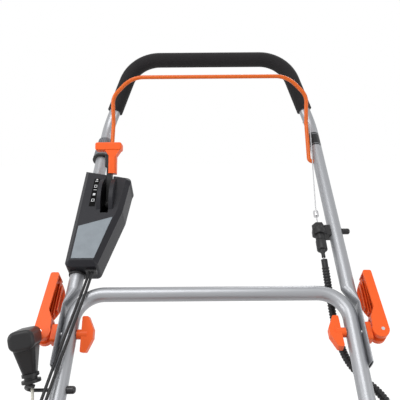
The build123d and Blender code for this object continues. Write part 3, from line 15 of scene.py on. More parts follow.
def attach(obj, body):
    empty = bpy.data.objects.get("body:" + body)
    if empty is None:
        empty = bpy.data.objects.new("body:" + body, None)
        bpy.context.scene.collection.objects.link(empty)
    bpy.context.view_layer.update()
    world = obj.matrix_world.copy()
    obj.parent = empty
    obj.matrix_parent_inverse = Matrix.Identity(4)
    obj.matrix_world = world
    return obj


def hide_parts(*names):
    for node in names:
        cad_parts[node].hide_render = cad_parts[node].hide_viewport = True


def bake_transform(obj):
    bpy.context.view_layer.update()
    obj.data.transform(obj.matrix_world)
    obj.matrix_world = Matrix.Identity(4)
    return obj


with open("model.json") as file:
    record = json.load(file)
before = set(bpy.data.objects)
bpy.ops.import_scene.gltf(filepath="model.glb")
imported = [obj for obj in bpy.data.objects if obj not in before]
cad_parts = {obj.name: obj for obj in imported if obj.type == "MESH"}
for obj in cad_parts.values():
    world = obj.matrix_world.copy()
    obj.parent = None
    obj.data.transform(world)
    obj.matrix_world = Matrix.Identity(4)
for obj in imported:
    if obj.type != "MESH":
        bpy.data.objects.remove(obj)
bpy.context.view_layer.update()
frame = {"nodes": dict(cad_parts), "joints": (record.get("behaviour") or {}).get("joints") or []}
nodes = frame["nodes"]

# %% [markdown]
# The handle is drawn flat in its own coordinates: x across, t up along the legs from the fold bolt and n
# square to the legs. One small function turns such a point, in millimetres, into a place in the scene.

# %% Handle coordinates
HANDLE_ANGLE = radians(42)
joint_at = {joint["name"]: Vector(joint["pos_m"]) for joint in frame["joints"] if "pos_m" in joint}
FOLD = joint_at["handle_fold"]
ACROSS = Vector((1, 0, 0))
UP_LEG = Vector((0, cos(HANDLE_ANGLE), sin(HANDLE_ANGLE)))
OFF_LEG = Vector((0, -sin(HANDLE_ANGLE), cos(HANDLE_ANGLE)))


def on_handle(x, t, n):
    return FOLD + (x * ACROSS + t * UP_LEG + n * OFF_LEG) / 1000


print("fold bolt at", tuple(round(v, 4) for v in FOLD))

# %% [markdown]
# ## Camera
# The picture is taken from in front of the mower, above the engine and lower than the grip, looking back
# at the handle. A longer lens flattens the handle and a wide one splays it, so the lens is set from the
# spread of the legs.

# %% Camera
CAMERA_LENS, SENSOR_WIDE, VIEW_SHIFT = 44.55, 36.0, -0.026
CAMERA_BACK, CAMERA_HIGH = 0.6713, 0.8532
CAMERA_DIP, CAMERA_ROLL = radians(8), radians(-0.44)


def add_object(name, data):
    piece = bpy.data.objects.new(name, data)
    bpy.context.scene.collection.objects.link(piece)
    return piece


camera_data = bpy.data.cameras.new("front_camera")
camera_data.sensor_width = SENSOR_WIDE
camera_data.lens = CAMERA_LENS
camera_data.shift_x = VIEW_SHIFT
camera = add_object("front_camera", camera_data)
camera_tilt = Matrix.Rotation(pi / 2 - CAMERA_DIP, 4, "X") @ Matrix.Rotation(CAMERA_ROLL, 4, "Z")
camera.matrix_world = Matrix.Translation((0, FOLD.y - CAMERA_BACK, CAMERA_HIGH)) @ camera_tilt
bpy.context.scene.camera = camera
bpy.context.scene.view_settings.view_transform = "Standard"
print("camera lens", camera_data.lens)

# %% [markdown]
# ## Studio
# A product picture on white has a big soft light above and weaker ones at the sides. The backdrop is
# white to the camera and in reflections only. If its full brightness also lit the mower, the paint would
# wash out. A node that does arithmetic is needed again and again, so a small maker comes first.

# %% World
WORLD_FILL = 0.40


def math_node(tree, operation, *values):
    node = tree.nodes.new("ShaderNodeMath")
    node.operation = operation
    for socket, value in zip(node.inputs, values):
        if isinstance(value, bpy.types.NodeSocket):
            tree.links.new(value, socket)
        else:
            socket.default_value = value
    return node.outputs[0]


def seen_directly(tree):
    path = tree.nodes.new("ShaderNodeLightPath")
    seen = path.outputs["Is Camera Ray"]
    for kind in ("Is Glossy Ray", "Is Transmission Ray"):
        seen = math_node(tree, "MAXIMUM", seen, path.outputs[kind])
    return seen


studio = bpy.data.worlds.new("studio")
studio.use_nodes = True
bpy.context.scene.world = studio
sky = studio.node_tree.nodes["Background"]
level = studio.node_tree.nodes.new("ShaderNodeMapRange")
level.inputs["To Min"].default_value = WORLD_FILL
level.inputs["To Max"].default_value = 1.0
studio.node_tree.links.new(seen_directly(studio.node_tree), level.inputs["Value"])
studio.node_tree.links.new(level.outputs["Result"], sky.inputs["Strength"])
sky.inputs["Color"].default_value = (1, 1, 1, 1)
print("world fill", WORLD_FILL)

# %% [markdown]
# Each lamp is a round softbox. Its place is in metres, then come its width and its power, and all of them
# point at the middle of the handle.

# %% Lamps
LAMP_AIM = Vector((0, 0.15, 0.55))
LAMPS = {
    "top_softbox": ((-0.5, -0.5, 2.6), 1.4, 24),
    "left_fill": ((-1.9, -0.6, 1.3), 1.0, 19),
    "right_fill": ((1.9, -0.7, 1.2), 1.0, 13),
    "rear_edge": ((0.6, 1.9, 1.9), 1.0, 12),
}
for lamp_name, (lamp_place, lamp_wide, watts) in LAMPS.items():
    lamp_data = bpy.data.lights.new(lamp_name, "AREA")
    lamp_data.shape = "DISK"
    lamp_data.size = lamp_wide
    lamp_data.energy = watts
    aim = (LAMP_AIM - Vector(lamp_place)).to_track_quat("-Z", "Y")
    lamp = add_object(lamp_name, lamp_data)
    lamp.matrix_world = Matrix.Translation(lamp_place) @ aim.to_matrix().to_4x4()
print("lamps", ", ".join(LAMPS))

# %% [markdown]
# The floor is one large sheet. Most of what the camera sees of it is plain white, and a share of real
# light is left in, so the shadow under the wheels still shows.

# %% Floor
FLOOR_HALF, FLOOR_GREY, FLOOR_ROUGH = 12, 0.86, 0.9
GLOW, GLOW_SHARE = 1.12, 0.86
floor_mesh = bpy.data.meshes.new("floor")
grid = bmesh.new()
bmesh.ops.create_grid(grid, x_segments=1, y_segments=1, size=FLOOR_HALF)
grid.to_mesh(floor_mesh)
grid.free()
floor = add_object("floor", floor_mesh)
floor_paint = bpy.data.materials.new("white_floor")
floor_paint.use_nodes = True
floor_tree = floor_paint.node_tree
floor_shader = floor_tree.nodes["Principled BSDF"]
floor_shader.inputs["Base Color"].default_value = (FLOOR_GREY, FLOOR_GREY, FLOOR_GREY, 1)
floor_shader.inputs["Roughness"].default_value = FLOOR_ROUGH
glow = floor_tree.nodes.new("ShaderNodeEmission")
glow.inputs["Strength"].default_value = GLOW
blend = floor_tree.nodes.new("ShaderNodeMixShader")
white_share = math_node(floor_tree, "MULTIPLY", seen_directly(floor_tree), GLOW_SHARE)
floor_tree.links.new(white_share, blend.inputs["Fac"])
floor_tree.links.new(floor_shader.outputs[0], blend.inputs[1])
floor_tree.links.new(glow.outputs[0], blend.inputs[2])
floor_tree.links.new(blend.outputs[0], floor_tree.nodes["Material Output"].inputs["Surface"])
floor_mesh.materials.append(floor_paint)
print("floor laid")

# %% [markdown]
# ## Finishes
# Every real surface has two scales of unevenness: a fine grain that scatters light, and broad patches
# where paint or plastic came out a little darker. One node group gives both, and each material sets its
# own scales.

# %% Node group: grain and patches
def new_group(name, inputs, outputs):
    group = bpy.data.node_groups.new(name, "ShaderNodeTree")
    for label, value in inputs.items():
        socket = group.interface.new_socket(label, in_out="INPUT", socket_type="NodeSocketFloat")
        socket.default_value = value
    for label in outputs:
        group.interface.new_socket(label, in_out="OUTPUT", socket_type="NodeSocketFloat")
    return group, group.nodes.new("NodeGroupInput"), group.nodes.new("NodeGroupOutput")


grain_scales = {"Grain Scale": 900, "Patch Scale": 14}
grain_group, given, result = new_group("grain and patches", grain_scales, ["Grain", "Patch"])
place = grain_group.nodes.new("ShaderNodeTexCoord")
for scale_name, out_name, detail in (("Grain Scale", "Grain", 2.0), ("Patch Scale", "Patch", 3.0)):
    noise = grain_group.nodes.new("ShaderNodeTexNoise")
    noise.inputs["Detail"].default_value = detail
    grain_group.links.new(place.outputs["Object"], noise.inputs["Vector"])
    grain_group.links.new(given.outputs[scale_name], noise.inputs["Scale"])
    grain_group.links.new(noise.outputs["Fac"], result.inputs[out_name])
print("group", grain_group.name)

# %% [markdown]
# Outdoor machines gather dust on faces that look up and grime low on the deck. The second group mixes the
# surface's own tilt with noise, so dust lies on top of things and breaks up at its edges.

# %% Node group: settled dust
DUST_TILT, SPECKLE_DETAIL = 0.4, 5.0
dust_group, given, result = new_group("settled dust", {"Scale": 30, "Height": 0.2}, ["Dust", "Grime"])
place = dust_group.nodes.new("ShaderNodeTexCoord")
surface = dust_group.nodes.new("ShaderNodeNewGeometry")
tilt = dust_group.nodes.new("ShaderNodeSeparateXYZ")
height = dust_group.nodes.new("ShaderNodeSeparateXYZ")
speckle = dust_group.nodes.new("ShaderNodeTexNoise")
speckle.inputs["Detail"].default_value = SPECKLE_DETAIL
dust_group.links.new(surface.outputs["Normal"], tilt.inputs[0])
dust_group.links.new(place.outputs["Object"], height.inputs[0])
dust_group.links.new(place.outputs["Object"], speckle.inputs["Vector"])
dust_group.links.new(given.outputs["Scale"], speckle.inputs["Scale"])
facing = dust_group.nodes.new("ShaderNodeMapRange")
facing.inputs["From Min"].default_value = DUST_TILT
dust_group.links.new(tilt.outputs["Z"], facing.inputs["Value"])
low_down = dust_group.nodes.new("ShaderNodeMapRange")
low_down.inputs["To Min"].default_value = 1.0
low_down.inputs["To Max"].default_value = 0.0
dust_group.links.new(height.outputs["Z"], low_down.inputs["Value"])
dust_group.links.new(given.outputs["Height"], low_down.inputs["From Max"])
for label, cause in (("Dust", facing), ("Grime", low_down)):
    broken_up = math_node(dust_group, "MULTIPLY", cause.outputs["Result"], speckle.outputs["Fac"])
    dust_group.links.new(broken_up, result.inputs[label])
print("group", dust_group.name)

# %% [markdown]
# Most finishes share one recipe: a base colour that drifts a little, a roughness that follows the grain
# and a bump from the same grain. The makers below build it, and the special finishes add their own nodes
# after it. A new bump takes the one before it as its ground, and a new layer of colour lies over the one
# before it.

# %% Finish maker
# The Mix node has its two colours at these places in its list of inputs.
COLOUR_UNDER, COLOUR_OVER = 6, 7
COAT_ROUGH, GLOSS_SPREAD, GLOSS_LEAST = 0.12, 0.06, 0.03
DIRT_COLOURS = {"Dust": (0.36, 0.34, 0.30), "Grime": (0.10, 0.085, 0.06)}


def mix_colour(tree, factor, under, over):
    node = tree.nodes.new("ShaderNodeMix")
    node.data_type = "RGBA"
    node.inputs[COLOUR_OVER].default_value = (*over, 1)
    if isinstance(under, bpy.types.NodeSocket):
        tree.links.new(under, node.inputs[COLOUR_UNDER])
    else:
        node.inputs[COLOUR_UNDER].default_value = (*under, 1)
    tree.links.new(factor, node.inputs["Factor"])
    return node.outputs["Result"]


def add_bump(material, height, strength, depth):
    tree = material.node_tree
    normal = tree.nodes["Principled BSDF"].inputs["Normal"]
    ridges = tree.nodes.new("ShaderNodeBump")
    ridges.inputs["Strength"].default_value = strength
    ridges.inputs["Distance"].default_value = depth
    tree.links.new(height, ridges.inputs["Height"])
    if normal.is_linked:
        tree.links.new(normal.links[0].from_socket, ridges.inputs["Normal"])
    tree.links.new(ridges.outputs["Normal"], normal)


def finish(name, colour, rough, metallic=0.0, grain=900, patch=14, drift=0.12, bump=0.15, depth=0.0002,
           dust=0.0, grime=0.0, grime_height=0.2, coat=0.0, shine=0.5):
    material = bpy.data.materials.new(name)
    material.use_nodes = True
    tree = material.node_tree
    shader = tree.nodes["Principled BSDF"]
    shader.inputs["Metallic"].default_value = metallic
    shader.inputs["Specular IOR Level"].default_value = shine
    shader.inputs["Coat Weight"].default_value = coat
    shader.inputs["Coat Roughness"].default_value = COAT_ROUGH
    texture = tree.nodes.new("ShaderNodeGroup")
    texture.node_tree = grain_group
    texture.inputs["Grain Scale"].default_value = grain
    texture.inputs["Patch Scale"].default_value = patch
    darker = [c * (1 - drift) for c in colour]
    lighter = [min(1, c * (1 + drift)) for c in colour]
    top_colour = mix_colour(tree, texture.outputs["Patch"], darker, lighter)
    if dust or grime:
        settled = tree.nodes.new("ShaderNodeGroup")
        settled.node_tree = dust_group
        settled.inputs["Height"].default_value = grime_height
        for label, amount in (("Dust", dust), ("Grime", grime)):
            strength = math_node(tree, "MULTIPLY", settled.outputs[label], amount)
            top_colour = mix_colour(tree, strength, top_colour, DIRT_COLOURS[label])
    tree.links.new(top_colour, shader.inputs["Base Color"])
    gloss = tree.nodes.new("ShaderNodeMapRange")
    gloss.inputs["To Min"].default_value = max(GLOSS_LEAST, rough - GLOSS_SPREAD)
    gloss.inputs["To Max"].default_value = min(1.0, rough + GLOSS_SPREAD)
    tree.links.new(texture.outputs["Grain"], gloss.inputs["Value"])
    tree.links.new(gloss.outputs["Result"], shader.inputs["Roughness"])
    add_bump(material, texture.outputs["Grain"], bump, depth)
    return material


print("finish maker ready")

# %% [markdown]
# Each recipe names the colour, the roughness and the size of the grain of one real material. Grain and
# patch are in cycles per metre, so a larger number is a finer texture, and depth is in metres.

# %% Recipes
RECIPES = {
    "silver_paint": dict(colour=(0.335, 0.343, 0.360), rough=0.40, metallic=0.55, grain=2600, patch=9,
                         drift=0.05, bump=0.10, depth=0.00005),
    "orange_plastic": dict(colour=(0.88, 0.122, 0.022), rough=0.42, grain=1500, patch=20, drift=0.06,
                           bump=0.10, depth=0.0001, shine=0.22),
    "orange_paint": dict(colour=(0.68, 0.125, 0.014), rough=0.36, grain=700, patch=12, drift=0.06,
                         bump=0.10, depth=0.0001, shine=0.3),
    "deck_paint": dict(colour=(0.72, 0.095, 0.018), rough=0.32, grain=420, patch=6, drift=0.08, bump=0.10,
                       dust=0.12, grime=0.75, grime_height=0.12, coat=0.25),
    "charcoal_plastic": dict(colour=(0.022, 0.022, 0.026), rough=0.42, grain=1400, patch=18, drift=0.10,
                             bump=0.35, depth=0.00015, shine=0.15),
    "grey_plastic": dict(colour=(0.155, 0.162, 0.178), rough=0.50, grain=1200, patch=18, drift=0.10,
                         bump=0.3),
    "panel_plastic": dict(colour=(0.205, 0.235, 0.262), rough=0.52, grain=800, patch=60, drift=0.20,
                          bump=0.6, depth=0.0004),
    "black_plastic": dict(colour=(0.016, 0.016, 0.017), rough=0.44, grain=1000, patch=16, drift=0.20,
                          bump=0.25, depth=0.00015, shine=0.32),
    "engine_plastic": dict(colour=(0.026, 0.026, 0.028), rough=0.48, grain=800, patch=10, drift=0.20,
                           bump=0.3, dust=0.22),
    "cable_sheath": dict(colour=(0.011, 0.011, 0.012), rough=0.44, grain=1300, patch=40, drift=0.2,
                         bump=0.2, depth=0.0001, shine=0.3),
    "black_steel": dict(colour=(0.022, 0.022, 0.024), rough=0.38, metallic=0.3, grain=700, patch=14,
                        drift=0.2, bump=0.15, depth=0.0001, dust=0.1),
    "plain_steel": dict(colour=(0.60, 0.60, 0.61), rough=0.30, metallic=1.0, grain=1600, patch=40,
                        drift=0.12, bump=0.12, depth=0.0001),
    "blade_steel": dict(colour=(0.42, 0.42, 0.43), rough=0.38, metallic=1.0, grain=500, patch=12,
                        drift=0.2, bump=0.25, grime=0.5),
    "cast_metal": dict(colour=(0.46, 0.46, 0.47), rough=0.52, metallic=0.75, grain=380, patch=14,
                       drift=0.14, bump=0.5, depth=0.0005, dust=0.2),
    "hot_steel": dict(colour=(0.13, 0.105, 0.09), rough=0.60, metallic=0.7, grain=500, patch=22,
                      drift=0.35, bump=0.35, depth=0.0003),
    "wire_steel": dict(colour=(0.42, 0.42, 0.43), rough=0.42, metallic=0.8, grain=900, patch=60, drift=0.2,
                       bump=0.15, depth=0.0001),
    "scale_black": dict(colour=(0.002, 0.002, 0.002), rough=0.75, grain=1500, patch=40, drift=0.2, bump=0.15,
                        depth=0.0001, shine=0.1),
    "scale_white": dict(colour=(0.72, 0.73, 0.74), rough=0.55, grain=1500, patch=40, drift=0.06, bump=0.15,
                        depth=0.0001),
    "rim_plastic": dict(colour=(0.48, 0.48, 0.49), rough=0.42, grain=900, patch=12, drift=0.08, bump=0.2,
                        grime=0.4),
}
finishes = {name: finish(name, **recipe) for name, recipe in RECIPES.items()}
print(len(finishes), "finishes")

# %% [markdown]
# The CAD nodes keep their shapes. Each gets the finish of its real material: moulded plastic for what a
# hand turns, painted tube for what carries the load and plated steel for pins and bolts.

# %% Dress the solids
DRESS = {
    "silver_paint": ["upper_handle_tube", "lower_handle_tube"],
    "orange_plastic": ["left_cam_lever", "right_cam_lever", "cam_saddles", "left_wing_knob",
                       "right_wing_knob", "throttle_knob"],
    "orange_paint": ["bail"],
    "deck_paint": ["deck"],
    "charcoal_plastic": ["control_cover", "control_back"],
    "grey_plastic": ["ribbed_collar"],
    "panel_plastic": ["grip_panel"],
    "black_plastic": ["cable_grommet", "cable_adjuster", "cable_bracket", "starter_grip", "oil_cap",
                      "fuel_cap"],
    "engine_plastic": ["starter_housing", "blower_shroud", "fuel_tank", "air_filter_cover",
                       "starter_pulley", "rear_flap", "spark_plug"],
    "black_steel": ["throttle_arm", "rope_guide", "handle_brackets", "axle_plates"],
    "plain_steel": ["throttle_pin", "control_screws", "clamp_bolts", "cam_pins", "handle_bolts",
                    "engine_bolts", "wheel_axles", "crankshaft", "blade_adapter", "blade_bolt"],
    "blade_steel": ["blade"],
    "cast_metal": ["engine_block", "flywheel"],
    "hot_steel": ["muffler"],
    "rim_plastic": ["front_left_rim", "front_right_rim", "rear_left_rim", "rear_right_rim"],
}


def wear(piece, material):
    if not piece.material_slots:
        piece.data.materials.append(material)
    for slot in piece.material_slots:
        slot.material = material


for finish_name, dressed in DRESS.items():
    for node_name in dressed:
        wear(nodes[node_name], finishes[finish_name])
print(sum(len(d) for d in DRESS.values()), "solids dressed")

# %% [markdown]
# Some finishes change along the handle. A Mapping node of the Texture kind undoes the handle's place and
# tilt, so that the nodes after it can think in x and t. A mask is then a comparison with two limits, and
# the new colour is laid over the old one where the mask is one.

# %% Mask makers
MM = 0.001


def handle_axes(tree):
    place = tree.nodes.new("ShaderNodeTexCoord")
    undo = tree.nodes.new("ShaderNodeMapping")
    undo.vector_type = "TEXTURE"
    undo.inputs["Location"].default_value = FOLD
    undo.inputs["Rotation"].default_value = (HANDLE_ANGLE, 0, 0)
    undo.inputs["Scale"].default_value = (MM, MM, MM)
    split = tree.nodes.new("ShaderNodeSeparateXYZ")
    tree.links.new(place.outputs["Object"], undo.inputs["Vector"])
    tree.links.new(undo.outputs["Vector"], split.inputs[0])
    return split.outputs["X"], split.outputs["Y"]


def within(tree, value, low, high):
    return math_node(tree, "COMPARE", value, (low + high) / 2, (high - low) / 2)


def both_of(tree, first, second):
    return math_node(tree, "MULTIPLY", first, second)


def paint_over(material, mask, colour):
    tree = material.node_tree
    base = tree.nodes["Principled BSDF"].inputs["Base Color"]
    tree.links.new(mix_colour(tree, mask, base.links[0].from_socket, colour), base)


print("mask makers ready")

# %% [markdown]
# The throttle slot is painted black inside: a dark liner together with painted shade in the recess. A dark
# band with two grey lines is wrapped round the left leg, and the collar above the control housing has a
# black lower edge, its dark rim together with painted shade where it meets the housing.

# %% Slot, band and collar edge
SLOT_X, SLOT_HALF = -174.5, 6.62
SLOT_LOW, SLOT_HIGH = 197.9, 330
# The slot's inside is painted near-black: a dark liner together with painted shade in the recess.
SLOT_LINER_AND_SHADE = (0.004, 0.004, 0.005)
BAND_LOW, BAND_HIGH, LINE_INSET, LINE_HALF = 375, 409, 4, 0.5
BAND_BLACK, LINE_GREY = (0.014, 0.015, 0.017), (0.30, 0.31, 0.33)
LEFT_LEG_FROM, LEFT_LEG_TO = 100, 300
COLLAR_LOW, COLLAR_EDGE = 330, 350
# The collar's lower edge is painted black: its dark rim together with painted shade where it meets the
# housing.
COLLAR_RIM_AND_SHADE = (0.010, 0.010, 0.011)

cover_paint = finishes["charcoal_plastic"]
across, along = handle_axes(cover_paint.node_tree)
slot_sides = within(cover_paint.node_tree, across, SLOT_X - SLOT_HALF, SLOT_X + SLOT_HALF)
slot_ends = within(cover_paint.node_tree, along, SLOT_LOW, SLOT_HIGH)
# Painted shade: the slot's walls and end are painted near-black along with its dark liner.
paint_over(cover_paint, both_of(cover_paint.node_tree, slot_sides, slot_ends), SLOT_LINER_AND_SHADE)

tube_paint = finishes["silver_paint"]
across, along = handle_axes(tube_paint.node_tree)
left_leg = within(tube_paint.node_tree, across, LEFT_LEG_FROM, LEFT_LEG_TO)
stripes = [(BAND_LOW, BAND_HIGH, BAND_BLACK)]
for line_t in (BAND_LOW + LINE_INSET, BAND_HIGH - LINE_INSET):
    stripes.append((line_t - LINE_HALF, line_t + LINE_HALF, LINE_GREY))
for low, high, colour in stripes:
    stripe = within(tube_paint.node_tree, along, low, high)
    paint_over(tube_paint, both_of(tube_paint.node_tree, left_leg, stripe), colour)

collar_paint = finishes["grey_plastic"]
along = handle_axes(collar_paint.node_tree)[1]
# Painted shade: the band at the collar's foot is painted black along with its dark rim.
paint_over(collar_paint, within(collar_paint.node_tree, along, COLLAR_LOW, COLLAR_EDGE), COLLAR_RIM_AND_SHADE)
print("slot, band and collar edge masked")

# %% [markdown]
# Tyres need tread. The solid has the round grooves, and the material cuts the cross grooves into the
# shading: the angle round the axle, taken from y and z, drives a wave that only bites near the rolling
# surface.

# %% Tyre rubber
RUBBER = dict(colour=(0.022, 0.022, 0.023), rough=0.74, grain=700, patch=30, drift=0.25, bump=0.4,
              depth=0.0004, dust=0.25, grime=0.5, grime_height=0.08)
GROOVE_FOOT, GROOVE_LIP = -0.75, -0.45
TREAD_FROM, TREAD_BUMP, TREAD_DEPTH = 0.94, 0.9, 0.002


def tyre_rubber(name, axle, radius, blocks):
    material = finish(name, **RUBBER)
    tree = material.node_tree
    place = tree.nodes.new("ShaderNodeTexCoord")
    centre = tree.nodes.new("ShaderNodeMapping")
    centre.vector_type = "TEXTURE"
    centre.inputs["Location"].default_value = (0, axle.y, axle.z)
    split = tree.nodes.new("ShaderNodeSeparateXYZ")
    tree.links.new(place.outputs["Object"], centre.inputs["Vector"])
    tree.links.new(centre.outputs["Vector"], split.inputs[0])
    angle = math_node(tree, "ARCTAN2", split.outputs["Z"], split.outputs["Y"])
    wave = math_node(tree, "SINE", math_node(tree, "MULTIPLY", angle, blocks))
    groove = tree.nodes.new("ShaderNodeMapRange")
    groove.inputs["From Min"].default_value = GROOVE_FOOT
    groove.inputs["From Max"].default_value = GROOVE_LIP
    tree.links.new(wave, groove.inputs["Value"])
    flat = tree.nodes.new("ShaderNodeCombineXYZ")
    tree.links.new(split.outputs["Y"], flat.inputs["Y"])
    tree.links.new(split.outputs["Z"], flat.inputs["Z"])
    reach = tree.nodes.new("ShaderNodeVectorMath")
    reach.operation = "LENGTH"
    tree.links.new(flat.outputs[0], reach.inputs[0])
    side_wall = math_node(tree, "LESS_THAN", reach.outputs["Value"], radius * TREAD_FROM)
    tread = math_node(tree, "MAXIMUM", groove.outputs["Result"], side_wall)
    add_bump(material, tread, TREAD_BUMP, TREAD_DEPTH)
    return material


TREAD_BLOCKS = {"front": 44, "rear": 48}
for end, blocks in TREAD_BLOCKS.items():
    axle = joint_at[f"{end}_left_wheel_roll"]
    rubber = tyre_rubber(f"{end}_tyre_rubber", axle, axle.z, blocks)
    for side in ("left", "right"):
        wear(nodes[f"{end}_{side}_tyre"], rubber)
print("tyres treaded", TREAD_BLOCKS)

# %% [markdown]
# ## Foam grip
# The grip is a closed-cell foam sleeve pushed over the bar. A sleeve follows the bent bar exactly, so its
# path is a Bezier line whose handles make true arcs at the corners.

# %% Bent paths
BEND_STEPS = 24


def bent_path(name, corners, bend_radius):
    stations = [(corners[0], corners[0], corners[0])]
    for before, corner, after in zip(corners, corners[1:], corners[2:]):
        back, ahead = (before - corner).normalized(), (after - corner).normalized()
        turn = pi - back.angle(ahead)
        setback = bend_radius * tan(turn / 2)
        start, end = corner + back * setback, corner + ahead * setback
        reach = bend_radius * 4 / 3 * tan(turn / 4)
        stations.append((start + back * reach, start, start - back * reach))
        stations.append((end - ahead * reach, end, end + ahead * reach))
    stations.append((corners[-1], corners[-1], corners[-1]))
    curve = bpy.data.curves.new(name, "CURVE")
    curve.dimensions = "3D"
    curve.resolution_u = BEND_STEPS
    line = curve.splines.new("BEZIER")
    line.bezier_points.add(len(stations) - 1)
    for point, (left, middle, right) in zip(line.bezier_points, stations):
        point.handle_left_type = point.handle_right_type = "FREE"
        point.handle_left, point.co, point.handle_right = left, middle, right
    return curve


def as_mesh(piece):
    bpy.context.view_layer.update()
    shown = piece.evaluated_get(bpy.context.evaluated_depsgraph_get())
    mesh = bpy.data.meshes.new_from_object(shown)
    name = piece.name
    piece.name = name + "_guide"
    bpy.data.objects.remove(piece)
    return add_object(name, mesh)


def smooth(piece):
    for face in piece.data.polygons:
        face.use_smooth = True
    return piece


print("path makers ready")

# %% [markdown]
# The curve's bevel makes the tube, Solidify gives the foam its thickness and a Bevel softens the two open
# ends.

# %% Foam sleeve
FOAM_R, TUBE_R, FOAM_FIT = 0.0149, 0.011, 0.0001
FOAM_RIM, FOAM_SIDES, RIM_LIMIT = 0.0012, 10, radians(60)
BEND_T, BEND_HALF, BEND_ANGLE = 438, 201, radians(25)
GRIP_RISE, GRIP_LEAN, GRIP_CORNER = 149.5, radians(17.7), 0.070
FOAM_START = 34.5


def bend_point(side, rise):
    half = BEND_HALF - rise * tan(GRIP_LEAN)
    return on_handle(side * half, BEND_T + rise * cos(BEND_ANGLE), rise * sin(BEND_ANGLE))


sleeve_stops = ((1, FOAM_START), (1, GRIP_RISE), (-1, GRIP_RISE), (-1, FOAM_START))
sleeve_line = bent_path("foam_sleeve", [bend_point(*stop) for stop in sleeve_stops], GRIP_CORNER)
sleeve_line.bevel_depth = FOAM_R
sleeve_line.bevel_resolution = FOAM_SIDES
sleeve = as_mesh(add_object("foam_sleeve", sleeve_line))
wall = sleeve.modifiers.new("wall", "SOLIDIFY")
wall.thickness = FOAM_R - TUBE_R - FOAM_FIT
wall.offset = -1
rim = sleeve.modifiers.new("rim", "BEVEL")
rim.width = FOAM_RIM
rim.segments = 3
rim.limit_method = "ANGLE"
rim.angle_limit = RIM_LIMIT
sleeve = smooth(as_mesh(sleeve))
print("foam sleeve faces", len(sleeve.data.polygons))

# %% [markdown]
# Foam is matt, with a faint sheen, and shows its cells from close by. A Voronoi pattern of about a
# millimetre makes the pores, and its bump lies on the grain that every finish has.

# %% Foam material
CELL_SCALE, PORE_BUMP, PORE_DEPTH, FOAM_SHEEN = 850, 0.45, 0.0005, 0.08
foam = finish("closed_cell_foam", (0.015, 0.014, 0.015), 0.88, grain=420, patch=22, drift=0.25, bump=0.5,
              depth=0.0005, shine=0.2)
foam.node_tree.nodes["Principled BSDF"].inputs["Sheen Weight"].default_value = FOAM_SHEEN
cells = foam.node_tree.nodes.new("ShaderNodeTexVoronoi")
cells.inputs["Scale"].default_value = CELL_SCALE
foam_place = foam.node_tree.nodes.new("ShaderNodeTexCoord")
foam.node_tree.links.new(foam_place.outputs["Object"], cells.inputs["Vector"])
add_bump(foam, cells.outputs["Distance"], PORE_BUMP, PORE_DEPTH)
wear(sleeve, foam)
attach(sleeve, "upper_handle")
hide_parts("foam_grip")
print("foam grip covered")

# %% [markdown]
# ## Cables and rope
# A control cable is a stiff sheathed wire that is held at both ends, so it bends in long easy curves.
# Each is a NURBS line drawn by the points of its route, made thick by its bevel.

# %% Cable maker
CABLE_STEPS, CABLE_SIDES = 12, 4


def nurbs_line(name, points):
    curve = bpy.data.curves.new(name, "CURVE")
    curve.dimensions = "3D"
    curve.resolution_u = CABLE_STEPS
    line = curve.splines.new("NURBS")
    line.points.add(len(points) - 1)
    for point, spot in zip(line.points, points):
        point.co = (*spot, 1)
    line.order_u = 3
    line.use_endpoint_u = True
    return curve


def centreline(name, points):
    guide = add_object(name + "_line", nurbs_line(name + "_line", points))
    bpy.context.view_layer.update()
    shown = guide.evaluated_get(bpy.context.evaluated_depsgraph_get())
    mesh = bpy.data.meshes.new_from_object(shown)
    spots = [vertex.co.copy() for vertex in mesh.vertices]
    bpy.data.objects.remove(guide)
    bpy.data.meshes.remove(mesh)
    return spots


def declare_cord(piece, points):
    spots = centreline(piece.name, points)


def cable(name, points, radius, material):
    curve = nurbs_line(name, points)
    curve.bevel_depth = radius
    curve.bevel_resolution = CABLE_SIDES
    curve.use_fill_caps = True
    piece = smooth(as_mesh(add_object(name, curve)))
    wear(piece, material)
    return piece


print("cable maker ready")

# %% [markdown]
# Two cables leave the control housing side by side and run down the right leg to the engine. The second
# takes the first one's route, shifted outwards.

# %% Throttle and stop cables
CABLE_R, CABLE_GAP, EXIT_GAP_SHARE = 0.0021, 6, 0.8
CABLE_X, CABLE_N, HOUSING_BOTTOM = -180.5, 11, 99


def control_route(shift):
    out = CABLE_X - EXIT_GAP_SHARE * shift
    lower = [
        (-187, 40, 19), (-198, -25, 20.5), (-210, -95, 20), (-218, -160, 21), (-219, -225, 22),
        (-214, -272, 27), (-207, -316, 34), (-196, -360, 45), (-179, -404, 60), (-158, -445, 78),
        (-137, -479, 97), (-116, -511, 115), (-97, -539, 131.5),
    ]
    route = [(out, HOUSING_BOTTOM + 8, CABLE_N), (out - 1, HOUSING_BOTTOM - 16, CABLE_N + 4)]
    return [on_handle(*p) for p in route + [(x - shift, t, n) for x, t, n in lower]]


def bend_at_fold(piece):
    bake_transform(piece)


def sheathed_cable(node_name, route):
    cord = cable(node_name + "_sheath", route, CABLE_R, finishes["cable_sheath"])
    bend_at_fold(cord)
    declare_cord(cord, route)
    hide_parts(node_name)


for node_name, shift in (("throttle_cable", 0), ("stop_cable", CABLE_GAP)):
    sheathed_cable(node_name, control_route(shift))

# %% [markdown]
# The brake cable hangs from the adjuster on the left leg, swings out past the fold and runs down to the
# engine. Its route is given in steps from the adjuster's lower end.

